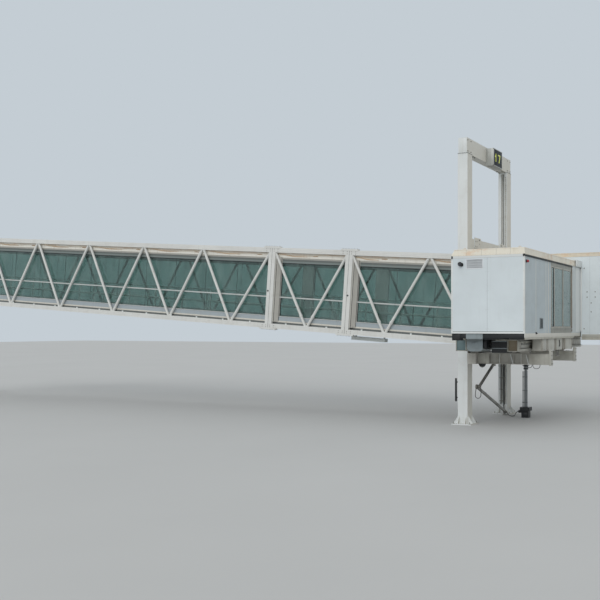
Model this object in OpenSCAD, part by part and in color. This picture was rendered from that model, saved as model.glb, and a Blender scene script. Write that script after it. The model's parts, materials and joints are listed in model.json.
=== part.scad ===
// Jet bridge: sloping glazed walkway, lift portal, side gallery and docking cab.
// X runs along the walkway towards the aircraft, Y goes away from the viewer,
// Z is up. The origin is under the middle of the near portal column.

/* [Portal] */
// Height of the portal columns under the top beam
col_h = 9360; // [8900:10:10200]
// Width of a portal column along the walkway
col_x = 350; // [320:5:350]
// Width of a portal column across the walkway
col_y = 500; // [440:5:500]
// Depth of the top beam
top_beam_h = 540; // [420:10:640]
// Width of the gate sign
sign_w = 1020; // [800:10:1200]

/* [Walkway] */
// Length of one truss bay
bay = 3080; // [2900:10:3150]
// Height of the walkway over both chords
tun_h = 3200; // [3150:10:3220]
// Diameter of the truss diagonals
diag_d = 110; // [80:2:130]
// Slope of the walkway at the lowest setting, in degrees
slope = 4.07; // [3.9:0.01:4.2]

/* [Gallery] */
// Width of the gallery along the walkway
gal_w = 2380; // [2360:10:2400]
// Height of the gallery roof edge above its floor slab
gal_h = 2680; // [2640:10:2720]
// How far the gallery stands out in front of the near column
gal_out = 2570; // [2200:10:2700]

/* [Docking cab] */
// Length of the cab towards the aircraft
cab_l = 4360; // [4000:10:4800]
// Width of the cab along the gallery
cab_w = 2900; // [2600:10:3100]

/* [Lift] */
// Travel of the lift frame
lift_travel = 1400; // [1000:10:1400]
// Travel of the cab along the gallery
cab_travel = 1000; // [800:10:1000]
// Gap left between pieces that move past each other
run_gap = 6; // [5:1:8]

/* [Hidden] */

// Colours
cream = [0.86, 0.84, 0.78];
pale_blue = [0.80, 0.84, 0.86];
warm_grey = [0.55, 0.53, 0.50];
dark_grey = [0.22, 0.22, 0.23];
black = [0.06, 0.06, 0.07];
teal_glass = [0.35, 0.50, 0.50];
silver = [0.72, 0.73, 0.74];
sign_green = [0.75, 0.85, 0.25];

// Facets of round parts, and how far a cut runs past a face
fine = 48;
cut = 1;

// Portal
span = 4700;
beam_x = 310;
base_t = 30;
base_out = 170;
bolt_inset = 60;
bolt_d = 34;
gusset_h = 280;
gusset_t = 16;
gusset_step = 10;
gusset_out = base_out - gusset_step;
gusset_lip = 40;
gusset_share = 0.36;
slot_w = 62;
slot_d = 60;
slot_z0 = 400;
slot_top_gap = 60;
sign_h = 630;
sign_d = 285;
sign_y = 1880;
sign_drop = 130;
digit_t = 46;
digit_raise = 8;
digit_h_share = 0.6;
digit_w_share = 0.24;
seven_share = 0.52;

// Walkway frame of its own: the hinge pin is the origin, s runs along the
// walkway towards the aircraft and n stands square to it
pin_x = -27200;
chord_z_at_portal = 2730;
pin_n = 200;
pin_z = chord_z_at_portal - pin_n / cos(slope) - pin_x * tan(slope);
truss_y0 = 825;
truss_y1 = span - truss_y0;
chord_y = 150;
top_chord = 190;
low_chord = 190;
post_s = 150;
seam = 4;
start_s = -120;
bays_a = 6;
end_gap_a = 440;
half_bay = bay / 2;
long_node = 300;
first_half = half_bay + long_node;
s_f1 = start_s + bays_a * bay + end_gap_a;
len_b = 3400;
s_f2 = s_f1 + len_b;
s_past_portal = 150;
s_end = s_past_portal - pin_x;
low_node_in = 80;
high_node_in = 70;
splice_s = 740;
splice_up = 46;
splice_out = 15;

// Walkway walls, floor and roof, as heights over the low chord's underside
wall_in = 930;
wall_t = 90;
n_sill = 260;
n_foot = 320;
n_floor = 400;
n_glass0 = 490;
n_glass1 = 2620;
n_head = 2800;
n_roof = 3010;
roof_t = 70;
step_big = 22;
step_small = 10;
rail_band = 25;
outer_rail_n = 1230;
rail_n = 1360;
rail_low_n = 860;
rail_d = 50;
rail_off = 60;
rail_end_in = 200;
rib_s = 140;
rib_low_gap = 20;
blind_s = 400;
blind_end = 160;
glass_t = 12;
glass_in = 30;
tray_y = [1400, 1700];
tray_n = [-205, -75];
tray_s = 1400;
tray_strap = 50;
strap_in = 100;

// Hinge and trestle at the terminal end
pin_bore = 31;
lug_r = 75;
lug_t = 40;
cheek_t = 24;
cheek_off = 60;
hinge_pin_l = 170;
trestle_beam_h = 300;
trestle_drop = 165;
trestle_top = pin_z - trestle_drop - trestle_beam_h;
trestle_x = 150;
trestle_y = 200;
trestle_out = 300;
trestle_gusset = 130;

// Lift frame
lb_x0 = 200;
lb_x1 = 500;
lb_z0 = 2100;
lb_z1 = 2470;
lb_out = 350;
hang_x0 = -170;
hang_x1 = 160;
hang_y0 = 300;
hang_y1 = 480;
hang_top = 6450;
head_z0 = 6050;
head_x = 150;
shoe_h = 300;
shoe_low = 200;
shoe_top = 500;
lug_plate_t = 30;
lug_plate_y = [540, 1200];
lug_plate_drop = 310;
lug_plate_up = 60;
lug_hole_y = 1040;
lug_hole_r = 35;
roller_r = 100;
roller_w = 160;
roller_pin_l = 250;
bracket_x = 70;
bracket_y = 105;
bracket_t = 20;
bracket_h = 200;
flange_t = 25;
web_t = 20;
out_flange = 220;
out_near_x1 = 2940;
out_far_x1 = 2660;
plate_x = 60;
plate_out = 20;
plate_up = 130;
stiffener_x = [1720, 2250];
stiffener_t = 16;
pad_y = 180;
pad_in = 20;
rail_z0 = 2570;
rail_z1 = 2950;
rail_y0 = -1550;
rail_y1 = 7500;
rear_rail_x = [220, 570];
front_rail_x = [1950, 2300];
rail_wall = 12;
rack_in = 60;
rack_t = 20;
rack_flange = 90;
house_x = [700, 1230];
house_y = [-1850, -800];
house_z = 2567;
house_r = 130;
drive_x0 = 1450;
drive_y = [-1600, -1000];
drive_z = [2525, 2910];
box_x = [2450, 2750];
box_y = [[-350, 360], [400, 1420], [1470, 2610], [2770, 4040]];
lamp_p = [640, -60];
lamp_r = 120;

// Gallery
gx0 = 420;
gx1 = gx0 + gal_w;
gy0 = -gal_out;
gy1 = 5600;
gz0 = 3020;
gz1 = 3150;
skirt_z = 2968;
skirt_t = 30;
floor_in = 90;
wall = 80;
roof_edge = 80;
roof_rise = 210;
g_wall_top = gz0 + gal_h - roof_edge;
g_roof_top = g_wall_top + roof_rise;
near_wall_lift = 10;
roof_slant = 110;
roof_lip = 20;
door_y0 = 980;
door_y1 = span - door_y0;
door_z1 = 5450;
lip_x0 = -60;
lip_over = 200;
lip_in = 60;
lip_t = 14;
packer_y = [-1400, 200, 1900, 3700];
packer_l = 300;
win_y = [720, 1130, 2390, 3640];
win_z = [3344, 5410];
mull = 60;
pane_in = 22;
louvre_x = [910, 1480];
louvre_z = [5205, 5525];
slats = 7;
slat_pitch = 40;
slat_h = 22;
slat_margin = 30;
louvre_in = 10;
gutter_end = 3780;
gutter_t = 26;
gutter_z = [60, 20];
seal_t = 60;
seal_out = 180;
seal_up = 250;

// Docking cab
cx0 = 240;
cx1 = cx0 + cab_l;
cy0 = 5140;
cy1 = cy0 + cab_w;
cz0 = 2970;
cz1 = 6060;
c_tray = 35;
c_roof = 130;
c_skirt_z = 2880;
step_clear = 50;
c_step_x = gx1 + step_clear;
c_step_y = gy1 + cab_travel + step_clear;
c_open = 30;
skid_l = 200;
skid_near = 100;
skid_far = 1000;
skid_y = [cy0 + skid_near, cy1 - skid_far];
hood_y = 900;
hood_clear = 34;
hood_x = gx1 + hood_clear;
hood_t = 26;
hood_over = 220;
hood_drop = 0;
hood_gap = 12;
hood_plate = 24;
skirt_clear = 40;
skirt_y1 = cy0 - cab_travel - skirt_clear;
cab_win_w = 1000;
cab_win_in = 500;
cab_win_x = [cx1 - cab_win_in - cab_win_w, cx1 - cab_win_in];
cab_win_z = [4150, 5150];
front_t = 150;
front_in = 250;
front_door = 2300;
canopy_folds = 3;
fold_x = 130;
fold_in = 60;
fold_step = 20;
fold_up = 120;

// Service mast
mast_x = 1215;
mast_in = 1370;
mast_y = span - mast_in;
mast_box = 270;
mast_h = 390;
mast_lid = 120;
mast_lid_out = 45;
mast_ear = [130, 60, 100];
mast_top = 1750;
mast_tube_r = 62;
mast_bore = 46;
mast_rod_r = 40;
mast_floor = 60;
rod_kept_in = 260;
rod_foot = mast_top - lift_travel - rod_kept_in;
cap_r = 80;
cap_h = 150;
cap_gap = 30;
stem = 60;
side_tube_r = 18;
side_tube_off = 105;

// Cable arm, in a plane across the walkway
foot_in = 750;
foot_z = 142;
foot_p = [span - foot_in, foot_z];
elbow_p = [550, 1265];
top_p = [2210, 2000];
arm_x0 = 215;
arm_t = 60;
arm_h = 90;
arm_gap = 20;
arm_x1 = arm_x0 + arm_t + arm_gap;
pin_r = 22;
eye_wall = 30;
open_gap = 34;
arm_plate_t = 24;
arm_plate_y = 60;
foot_plate = [170, 120, 20];
pin_reach = 5;

// A box between two corners, given one axis at a time
module block(x, y, z) {
  translate([x[0], y[0], z[0]])
    cube([x[1] - x[0], y[1] - y[0], z[1] - z[0]]);
}

// A copy at the other side of the walkway's middle plane
module both_sides() {
  children();
  other_side() children();
}

module other_side() {
  translate([0, span, 0])
    mirror([0, 1, 0])
      children();
}

// Puts a piece of the walkway in its sloping place
module sloped() {
  translate([pin_x, 0, pin_z])
    rotate([0, slope, 0])
      children();
}

// A round bar along Y, centred on the plane y = 0
module cross_pin(r, len) {
  rotate([90, 0, 0])
    cylinder(r = r, h = len, center = true, $fn = fine);
}

// Portal: columns, top beam and gate sign

module gusset() {
  rotate([90, 0, 0])
    linear_extrude(gusset_t, center = true)
      polygon([[0, 0], [gusset_out, 0], [gusset_out, gusset_lip],
        [0, gusset_h]]);
}

// Four pairs of gussets round a post of half sizes bx and by
module gussets(bx, by, kx, ky) {
  for (turn = [0, 180], k = [-1, 1]) {
    rotate([0, 0, turn]) translate([bx, k * ky, base_t]) gusset();
    rotate([0, 0, turn + 90]) translate([by, k * kx, base_t]) gusset();
  }
}

// A portal column with its base plate, and its guide slot at the far side
module column() {
  bx = col_x / 2;
  by = col_y / 2;
  px = bx + base_out;
  py = by + base_out;
  difference() {
    block([-bx, bx], [-by, by], [base_t, col_h]);
    block([-slot_w / 2, slot_w / 2], [by - slot_d, by + cut],
      [slot_z0, col_h - slot_top_gap]);
  }
  difference() {
    block([-px, px], [-py, py], [0, base_t]);
    for (sx = [-1, 1], sy = [-1, 1])
      translate([sx * (px - bolt_inset), sy * (py - bolt_inset), -cut])
        cylinder(d = bolt_d, h = base_t + 2 * cut, $fn = fine);
  }
  gussets(bx, by, gusset_share * col_x, gusset_share * col_y);
}

module near_column() {
  color(cream) column();
}

module far_column() {
  color(cream) other_side() column();
}

module top_beam() {
  color(cream)
    block([-beam_x / 2, beam_x / 2], [-col_y / 2, span + col_y / 2],
      [col_h, col_h + top_beam_h]);
}

// One raised stroke on the face of the sign
module stroke(y, z, w, h) {
  translate([beam_x / 2 + sign_d, y, z])
    cube([digit_raise, w, h]);
}

module gate_sign() {
  z0 = col_h - sign_drop;
  dh = sign_h * digit_h_share;
  dz = z0 + (sign_h - dh) / 2;
  dw = sign_w * digit_w_share;
  seven_y = sign_y + sign_w * seven_share;
  color(black)
    block([beam_x / 2, beam_x / 2 + sign_d], [sign_y, sign_y + sign_w],
      [z0, z0 + sign_h]);
  color(sign_green) {
    stroke(sign_y + dw, dz, digit_t, dh);
    stroke(seven_y, dz + dh - digit_t, dw, digit_t);
    stroke(seven_y + dw - digit_t, dz, digit_t, dh);
  }
}

// Trestle that carries the walkway's hinge at the terminal end

module trestle_posts() {
  px = trestle_x + base_out;
  py = trestle_y + base_out;
  color(cream)
    for (y = [truss_y0, truss_y1])
      translate([pin_x, y, 0]) {
        block([-trestle_x, trestle_x], [-trestle_y, trestle_y],
          [base_t, trestle_top]);
        block([-px, px], [-py, py], [0, base_t]);
        gussets(trestle_x, trestle_y, gusset_share * 2 * trestle_x,
          trestle_gusset);
      }
}

// A plate with a round end at the origin and its foot at z = foot
module lug(t, foot) {
  translate([0, t / 2, 0])
    rotate([90, 0, 0])
      linear_extrude(t)
        union() {
          translate([-lug_r, min(foot, 0)]) square([2 * lug_r, abs(foot)]);
          circle(r = lug_r, $fn = fine);
        }
}

module trestle_beam() {
  color(cream) {
    block([pin_x - trestle_x, pin_x + trestle_x],
      [truss_y0 - trestle_out, truss_y1 + trestle_out],
      [trestle_top, trestle_top + trestle_beam_h]);
    for (y = [truss_y0, truss_y1], k = [-1, 1])
      translate([pin_x, y + k * cheek_off, pin_z])
        difference() {
          lug(cheek_t, -trestle_drop);
          cross_pin(pin_bore, cheek_t + 2 * cut);
        }
  }
}

module tunnel_hinge() {
  color(warm_grey)
    sloped()
      for (y = [truss_y0, truss_y1])
        translate([0, y, 0]) {
          lug(lug_t, pin_n);
          cross_pin(pin_bore - run_gap, hinge_pin_l);
        }
}

// Service mast between the apron and the lift frame

module mast_base() {
  b = mast_box / 2;
  lid = b + mast_lid_out;
  z_lid = mast_h - mast_lid;
  color(dark_grey)
    translate([mast_x, mast_y, 0])
      difference() {
        union() {
          block([-b, b], [-b, b], [0, z_lid]);
          block([-lid, lid], [-lid, lid], [z_lid, mast_h]);
          block([-b - mast_ear[0], -b], [-mast_ear[1], mast_ear[1]],
            [z_lid - mast_ear[2], z_lid]);
        }
        translate([0, 0, mast_floor])
          cylinder(r = mast_bore, h = mast_h, $fn = fine);
      }
}

module mast_tube() {
  len = mast_top - mast_h;
  color(silver)
    translate([mast_x, mast_y, mast_h])
      difference() {
        cylinder(r = mast_tube_r, h = len, $fn = fine);
        translate([0, 0, -cut])
          cylinder(r = mast_bore, h = len + 2 * cut, $fn = fine);
      }
  color(dark_grey)
    translate([mast_x - side_tube_off, mast_y, mast_h])
      cylinder(r = side_tube_r, h = len - cap_gap, $fn = fine);
}

module mast_rod() {
  z_cap = mast_top + cap_gap;
  color(silver)
    translate([mast_x, mast_y, rod_foot])
      cylinder(r = mast_rod_r, h = z_cap - rod_foot, $fn = fine);
  color(black)
    translate([mast_x, mast_y, 0]) {
      translate([0, 0, z_cap])
        cylinder(r = cap_r, h = cap_h, $fn = fine);
      block([-stem, stem], [-stem, stem], [z_cap + cap_h, gz0]);
    }
}

// Lift frame: hangers in the portal, beams and rails under the gallery

module hangers() {
  shoe_x = slot_w / 2 - run_gap;
  shoe_y = col_y / 2 - slot_d + 2 * run_gap;
  color(cream)
    both_sides() {
      block([hang_x0, hang_x1], [hang_y0, hang_y1], [lb_z1, hang_top]);
      for (z = [lb_z1 + shoe_low, hang_top - shoe_top])
        block([-shoe_x, shoe_x], [shoe_y, hang_y0], [z, z + shoe_h]);
    }
}

module crosshead() {
  color(cream) {
    block([-head_x, head_x], [hang_y1, span - hang_y1],
      [head_z0, hang_top]);
    both_sides()
      difference() {
        block([head_x, head_x + lug_plate_t], lug_plate_y,
          [hang_top - lug_plate_drop, hang_top + lug_plate_up]);
        translate([head_x - cut, lug_hole_y, hang_top])
          rotate([0, 90, 0])
            cylinder(r = lug_hole_r, h = lug_plate_t + 2 * cut,
              $fn = fine);
      }
  }
}

// Stands on the cross beam at each side and holds a roller's pin
module roller_bracket(y) {
  z_axle = chord_z_at_portal - run_gap - roller_r;
  difference() {
    block([-bracket_x, bracket_x], [y - bracket_t / 2, y + bracket_t / 2],
      [lb_z1, lb_z1 + bracket_h]);
    translate([0, y, z_axle])
      cross_pin(pin_bore, bracket_t + 2 * cut);
  }
}

module lift_beam() {
  color(warm_grey) {
    block([lb_x0, lb_x1], [-lb_out, span + lb_out], [lb_z0, lb_z1]);
    block([hang_x0, lb_x0], [hang_y0, span - hang_y0], [lb_z0, lb_z1]);
    for (y = [0, span])
      block([rear_rail_x[0] + pad_in, lb_x1 - pad_in],
        [y - pad_y / 2, y + pad_y / 2], [lb_z1, rail_z0]);
    for (y = [truss_y0, truss_y1], k = [-1, 1])
      roller_bracket(y + k * bracket_y);
    translate([arm_x1 + arm_t + arm_gap, top_p[0], 0])
      block([0, arm_plate_t], [-arm_plate_y, arm_plate_y],
        [top_p[1] - arm_plate_y, lb_z0]);
  }
  color(silver)
    translate([arm_x1 - pin_reach, top_p[0], top_p[1]])
      rotate([0, 90, 0])
        cylinder(r = pin_r - run_gap,
          h = arm_t + arm_gap + arm_plate_t + pin_reach, $fn = fine);
}

module walkway_rollers() {
  z_axle = chord_z_at_portal - run_gap - roller_r;
  color(silver)
    for (y = [truss_y0, truss_y1])
      translate([0, y, z_axle]) {
        cross_pin(roller_r, roller_w);
        cross_pin(pin_bore, roller_pin_l);
      }
}

module outrigger(y, x1) {
  half = out_flange / 2;
  translate([0, y, 0]) {
    block([lb_x1, x1], [-web_t / 2, web_t / 2],
      [lb_z0 + flange_t, lb_z1 - flange_t]);
    for (z = [lb_z0, lb_z1 - flange_t])
      block([lb_x1, x1], [-half, half], [z, z + flange_t]);
    block([x1, x1 + plate_x], [-half - plate_out, half + plate_out],
      [lb_z0 - plate_out, lb_z1 + plate_up]);
    for (x = stiffener_x)
      block([x, x + stiffener_t], [-half + plate_out, half - plate_out],
        [lb_z0 + flange_t, lb_z1 - flange_t]);
    block([front_rail_x[0] + pad_in, front_rail_x[1] - pad_in],
      [-pad_y / 2, pad_y / 2], [lb_z1, rail_z0]);
  }
}

module outrigger_beams() {
  color(warm_grey) {
    outrigger(0, out_near_x1);
    outrigger(span, out_far_x1);
  }
}

module hollow_rail(x) {
  difference() {
    block(x, [rail_y0, rail_y1], [rail_z0, rail_z1]);
    block([x[0] + rail_wall, x[1] - rail_wall],
      [rail_y0 - cut, rail_y1 + cut],
      [rail_z0 + rail_wall, rail_z1 - rail_wall]);
  }
}

module carrier_rails() {
  color(warm_grey) {
    hollow_rail(rear_rail_x);
    hollow_rail(front_rail_x);
  }
}

// A channel along the front rail that holds the cab's drive rack
module rail_rack() {
  y = [rail_y0 + rack_in, rail_y1 - rack_in];
  z0 = rail_z0 + rack_in;
  z1 = rail_z1 - rack_in;
  color(warm_grey)
    translate([front_rail_x[1], 0, 0]) {
      block([0, rack_t], y, [z0, z1]);
      for (z = [z0, z1 - rack_t])
        block([rack_t, rack_flange], y, [z, z + rack_t]);
    }
}

module equipment_housing() {
  r = house_r;
  w = house_x[1] - house_x[0];
  color(warm_grey)
    translate([house_x[0], house_y[1], house_z])
      rotate([90, 0, 0])
        linear_extrude(house_y[1] - house_y[0])
          union() {
            translate([0, r]) square([w, gz0 - house_z - r]);
            translate([r, 0]) square([w - 2 * r, r + cut]);
            for (cx = [r, w - r])
              translate([cx, r]) circle(r = r, $fn = fine);
          }
}

module drive_box() {
  color(black)
    block([drive_x0, front_rail_x[0]], drive_y, drive_z);
}

module floor_boxes() {
  color(warm_grey)
    for (y = box_y)
      block(box_x, y, [rail_z0, gz0]);
}

module under_lamp() {
  color(black)
    translate([lamp_p[0], lamp_p[1], lb_z0])
      difference() {
        sphere(r = lamp_r, $fn = fine);
        block([-lamp_r, lamp_r], [-lamp_r, lamp_r], [0, lamp_r]);
      }
}

// Folding cable arm: its two links meet at an open elbow

module eye(y, r, h) {
  translate([-cut, y, 0])
    rotate([0, 90, 0])
      cylinder(r = r, h = h + 2 * cut, $fn = fine);
}

module link(p, q, x0, eye_p, eye_q) {
  dy = q[0] - p[0];
  dz = q[1] - p[1];
  len = norm([dy, dz]);
  translate([x0, p[0], p[1]])
    rotate([atan2(dz, dy), 0, 0])
      difference() {
        union() {
          translate([0, 0, -arm_h / 2]) cube([arm_t, len, arm_h]);
          for (e = [[0, eye_p], [len, eye_q]])
            translate([0, e[0], 0])
              rotate([0, 90, 0])
                cylinder(r = e[1] + eye_wall, h = arm_t, $fn = fine);
        }
        eye(0, eye_p, arm_t);
        eye(len, eye_q, arm_t);
      }
}

module arm_foot() {
  x0 = arm_x0 - arm_gap - arm_plate_t;
  color(warm_grey)
    translate([x0, foot_p[0], 0]) {
      block([0, foot_plate[0]], [-foot_plate[1], foot_plate[1]],
        [0, foot_plate[2]]);
      block([0, arm_plate_t], [-arm_plate_y, arm_plate_y],
        [foot_plate[2], foot_p[1] + arm_plate_y]);
      translate([0, 0, foot_p[1]])
        rotate([0, 90, 0])
          cylinder(r = pin_r - run_gap,
            h = arm_plate_t + arm_gap + arm_t + pin_reach, $fn = fine);
    }
}

module cable_arm_lower() {
  color(cream)
    link(foot_p, elbow_p, arm_x0, pin_r, pin_r + open_gap);
}

module cable_arm_upper() {
  color(cream) {
    link(elbow_p, top_p, arm_x1, pin_r - pin_reach, pin_r);
    translate([arm_x0, elbow_p[0], elbow_p[1]])
      rotate([0, 90, 0])
        cylinder(r = pin_r, h = arm_x1 + arm_t - arm_x0, $fn = fine);
  }
}

// Gallery on the lift frame

module gallery_floor() {
  color(cream) {
    block([gx0, gx1], [gy0 + floor_in, gy1], [gz0, gz1]);
    block([lip_x0, gx0 + lip_over], [door_y0 + lip_in, door_y1 - lip_in],
      [gz1, gz1 + lip_t]);
    for (x = [rear_rail_x, front_rail_x], y = packer_y)
      block([max(x[0], gx0) + pad_in, x[1] - pad_in],
        [y, y + packer_l], [rail_z1, gz0]);
    block([gx1 - skirt_t, gx1], [gy0 + floor_in, skirt_y1],
      [skirt_z, gz0]);
  }
}

module gallery_near_wall() {
  color(pale_blue)
    difference() {
      block([gx0, gx1], [gy0, gy0 + wall],
        [gz1 + near_wall_lift, g_wall_top]);
      block(louvre_x, [gy0 - cut, gy0 + wall + cut], louvre_z);
    }
}

module gallery_rear_wall() {
  color(pale_blue)
    difference() {
      block([gx0, gx0 + wall], [gy0 + wall, gy1], [gz1, g_wall_top]);
      block([gx0 - cut, gx0 + wall + cut], [door_y0, door_y1],
        [gz1 - cut, door_z1]);
    }
}

// The three windows in the front wall, from x = x[0] to x = x[1]
module windows(x) {
  for (i = [0 : len(win_y) - 2])
    block(x, [win_y[i] + mull / 2, win_y[i + 1] - mull / 2], win_z);
}

module gallery_front_wall() {
  color(cream)
    difference() {
      block([gx1 - wall, gx1], [gy0 + wall, gy1], [gz1, g_wall_top]);
      windows([gx1 - wall - cut, gx1 + cut]);
    }
}

module gallery_glass() {
  color(teal_glass)
    windows([gx1 - pane_in, gx1 - pane_in + glass_t]);
}

module gallery_louvre() {
  color(pale_blue)
    translate([0, gy0, 0])
      difference() {
        block(louvre_x, [louvre_in, wall - louvre_in], louvre_z);
        for (k = [0 : slats - 1])
          translate([0, 0, louvre_z[0] + slat_margin + k * slat_pitch])
            block([louvre_x[0] + slat_margin, louvre_x[1] - slat_margin],
              [louvre_in - cut, wall - slat_margin], [0, slat_h]);
      }
}

module gallery_roof() {
  color(cream)
    translate([0, gy1, 0])
      rotate([90, 0, 0])
        linear_extrude(gy1 - gy0)
          polygon([[gx0, g_wall_top], [gx1, g_wall_top],
            [gx1, g_roof_top], [gx0 + roof_slant, g_roof_top],
            [gx0, g_wall_top + roof_lip]]);
}

module roof_gutter() {
  color(black)
    block([gx1, gx1 + gutter_t], [gy0 + gutter_t, gutter_end],
      [g_wall_top - gutter_z[0], g_wall_top - gutter_z[1]]);
}

module entry_seal() {
  color(black)
    difference() {
      block([gx0 - seal_t, gx0], [door_y0 - seal_out, door_y1 + seal_out],
        [gz0, door_z1 + seal_up]);
      block([gx0 - seal_t - cut, gx0 + cut], [door_y0, door_y1],
        [gz1 - lip_t, door_z1]);
    }
}

// Docking cab, which slides along the gallery on the carrier rails

module cab_floor() {
  z_tray = cz0 + c_tray;
  color(cream) {
    block([cx0, cx1], [cy0, cy1], [cz0, z_tray]);
    block([c_step_x, cx1], [cy0 + wall, cy1 - wall], [z_tray, gz1]);
    block([cx0 + wall, c_step_x], [c_step_y, cy1 - wall], [z_tray, gz1]);
    for (x = [rear_rail_x, front_rail_x], y = skid_y)
      block([max(x[0], cx0) + pad_in, x[1] - pad_in], [y, y + skid_l],
        [rail_z1 + run_gap, cz0]);
    for (y = [cy0, cy1 - wall])
      block([c_step_x, cx1], [y, y + wall], [c_skirt_z, cz0]);
  }
}

module cab_near_wall() {
  color(pale_blue)
    difference() {
      block([cx0, cx1], [cy0, cy0 + wall], [cz0 + c_tray, cz1]);
      block([gx0 - c_open, gx1 + c_open], [cy0 - cut, cy0 + wall + cut],
        [cz0, g_roof_top + c_open]);
    }
  // Hood over the gallery's roof edge
  color(cream) {
    block([hood_x, hood_x + hood_t], [cy0 - hood_y, cy0],
      [g_wall_top - hood_drop, g_roof_top + hood_gap + hood_plate]);
    block([gx1 - hood_over, hood_x], [cy0 - hood_y, cy0],
      [g_roof_top + hood_gap, g_roof_top + hood_gap + hood_plate]);
  }
}

module cab_far_wall() {
  color(pale_blue)
    difference() {
      block([cx0, cx1], [cy1 - wall, cy1], [cz0 + c_tray, cz1]);
      block(cab_win_x, [cy1 - wall - cut, cy1 + cut], cab_win_z);
    }
}

module cab_glass() {
  color(teal_glass)
    block(cab_win_x, [cy1 - pane_in, cy1 - pane_in + glass_t], cab_win_z);
}

module cab_rear_wall() {
  color(pale_blue)
    block([cx0, cx0 + wall], [cy0 + wall, cy1 - wall],
      [cz0 + c_tray, cz1]);
}

module cab_roof() {
  color(cream)
    block([cx0, cx1], [cy0, cy1], [cz1, cz1 + c_roof]);
}

// The way through to the aircraft, cut from x0 to x1
module front_way(x0, x1) {
  block([x0 - cut, x1 + cut], [cy0 + front_in, cy1 - front_in],
    [gz1, gz1 + front_door]);
}

module cab_front_frame() {
  color(dark_grey)
    difference() {
      block([cx1, cx1 + front_t], [cy0, cy1], [cz0, cz1 + c_roof]);
      front_way(cx1, cx1 + front_t);
    }
}

module cab_canopy() {
  x0 = cx1 + front_t;
  color(dark_grey)
    difference() {
      for (k = [0 : canopy_folds - 1])
        block([x0 + k * fold_x, x0 + (k + 1) * fold_x],
          [cy0 + fold_in + k * fold_step, cy1 - fold_in - k * fold_step],
          [gz1 + fold_up, cz1 + fold_in - k * fold_step]);
      front_way(x0, x0 + canopy_folds * fold_x);
    }
}

// Walkway: side trusses

n0 = pin_n;
n_top = pin_n + tun_h;
n_lo = pin_n + low_chord / 2;
n_hi = n_top - top_chord / 2;

// A bar between two points of the truss plane, over the plane y = 0
module bar(p, q) {
  ds = q[0] - p[0];
  dn = q[1] - p[1];
  translate([p[0], 0, p[1]])
    rotate([0, atan2(ds, dn), 0])
      cylinder(d = diag_d, h = norm([ds, dn]), $fn = 8);
}

// One section's chords and end posts, whose fins reach in to the wall
module section(s0, s1) {
  half = chord_y / 2;
  for (n = [[n0, n0 + low_chord], [n_top - top_chord, n_top]])
    block([s0, s1], [-half, half], n);
  for (s = [s0, s1 - post_s]) {
    block([s, s + post_s], [-half, half], [n0, n_top]);
    block([s, s + post_s], [half, wall_in - truss_y0],
      [n0 + n_sill, n0 + n_roof]);
  }
}

// Plates over a bolted joint between two sections
module splice(s) {
  for (n = [n0 - splice_up, n_top - splice_up / 2])
    block([s - splice_s / 2, s + splice_s / 2],
      [-chord_y / 2 - splice_out, chord_y / 2],
      [n, n + splice_up * 1.5]);
}

// Section A is whole bays, B one bay, and C ends at the portal
module truss() {
  half_post = post_s / 2;
  first = s_f1 - first_half - (bays_a - 1) * bay;
  section(start_s, s_f1 - seam / 2);
  for (i = [0 : bays_a - 1]) {
    low = first + i * bay;
    before = i == 0 ? start_s + half_post : low - half_bay;
    after = i == bays_a - 1 ? s_f1 - half_post : low + half_bay;
    bar([before, n_hi], [low, n_lo]);
    bar([low, n_lo], [after, n_hi]);
  }
  mid = (s_f1 + s_f2) / 2;
  section(s_f1 + seam / 2, s_f2 - seam / 2);
  bar([s_f1 + half_post, n_hi], [mid, n_lo]);
  bar([mid, n_lo], [s_f2 - half_post, n_hi]);
  low_c = s_f2 + half_bay + low_node_in;
  high_c = low_c + half_bay + high_node_in;
  section(s_f2 + seam / 2, s_end);
  bar([s_f2 + half_post, n_hi], [low_c, n_lo]);
  bar([low_c, n_lo], [high_c, n_hi]);
  bar([high_c, n_hi], [s_end - half_post, n_lo]);
  splice(s_f1);
  splice(s_f2);
}

module near_truss() {
  color(cream)
    sloped() translate([0, truss_y0, 0]) truss();
}

module far_truss() {
  color(cream)
    sloped() other_side() translate([0, truss_y0, 0]) truss();
}

// Walkway: floor, roof, walls and what is fixed to them

// Cross members between the trusses, from n[0] to n[1]
module ribs(n) {
  for (s = [start_s : half_bay : s_end - rib_s])
    block([s, s + rib_s],
      [truss_y0 + chord_y / 2, truss_y1 - chord_y / 2], n);
}

module tunnel_floor() {
  color(warm_grey)
    sloped() {
      block([start_s, s_end], [wall_in + wall_t, span - wall_in - wall_t],
        [n0 + low_chord, n0 + n_floor]);
      block([start_s, s_end], [wall_in, span - wall_in],
        [n0 + low_chord, n0 + n_sill]);
      ribs([n0 + rib_low_gap, n0 + low_chord]);
    }
}

module tunnel_roof() {
  color(cream)
    sloped() {
      block([start_s, s_end], [wall_in, span - wall_in],
        [n0 + n_roof, n0 + n_roof + roof_t]);
      ribs([n0 + n_roof + roof_t, n_top - rib_low_gap]);
    }
}

// Lengths of wall between the posts, and of glass between blind panels
wall_runs = [[start_s + post_s, s_f1 - seam / 2 - post_s],
  [s_f1 + seam / 2 + post_s, s_f2 - seam / 2 - post_s],
  [s_f2 + seam / 2 + post_s, s_end - post_s]];
glass_runs = [[start_s + blind_end, s_f1 - blind_end],
  [s_f1 + blind_s, s_f2 - blind_end],
  [s_f2 + blind_s, s_end - blind_end]];

// Fascia, sill, foot strip and outer mid rail stand proud of the wall
bands = [[n_head, n_roof, step_big], [n_foot, n_glass0, step_small],
  [n_sill, n_foot, step_big],
  [outer_rail_n, outer_rail_n + rail_d, rail_band]];

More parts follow.
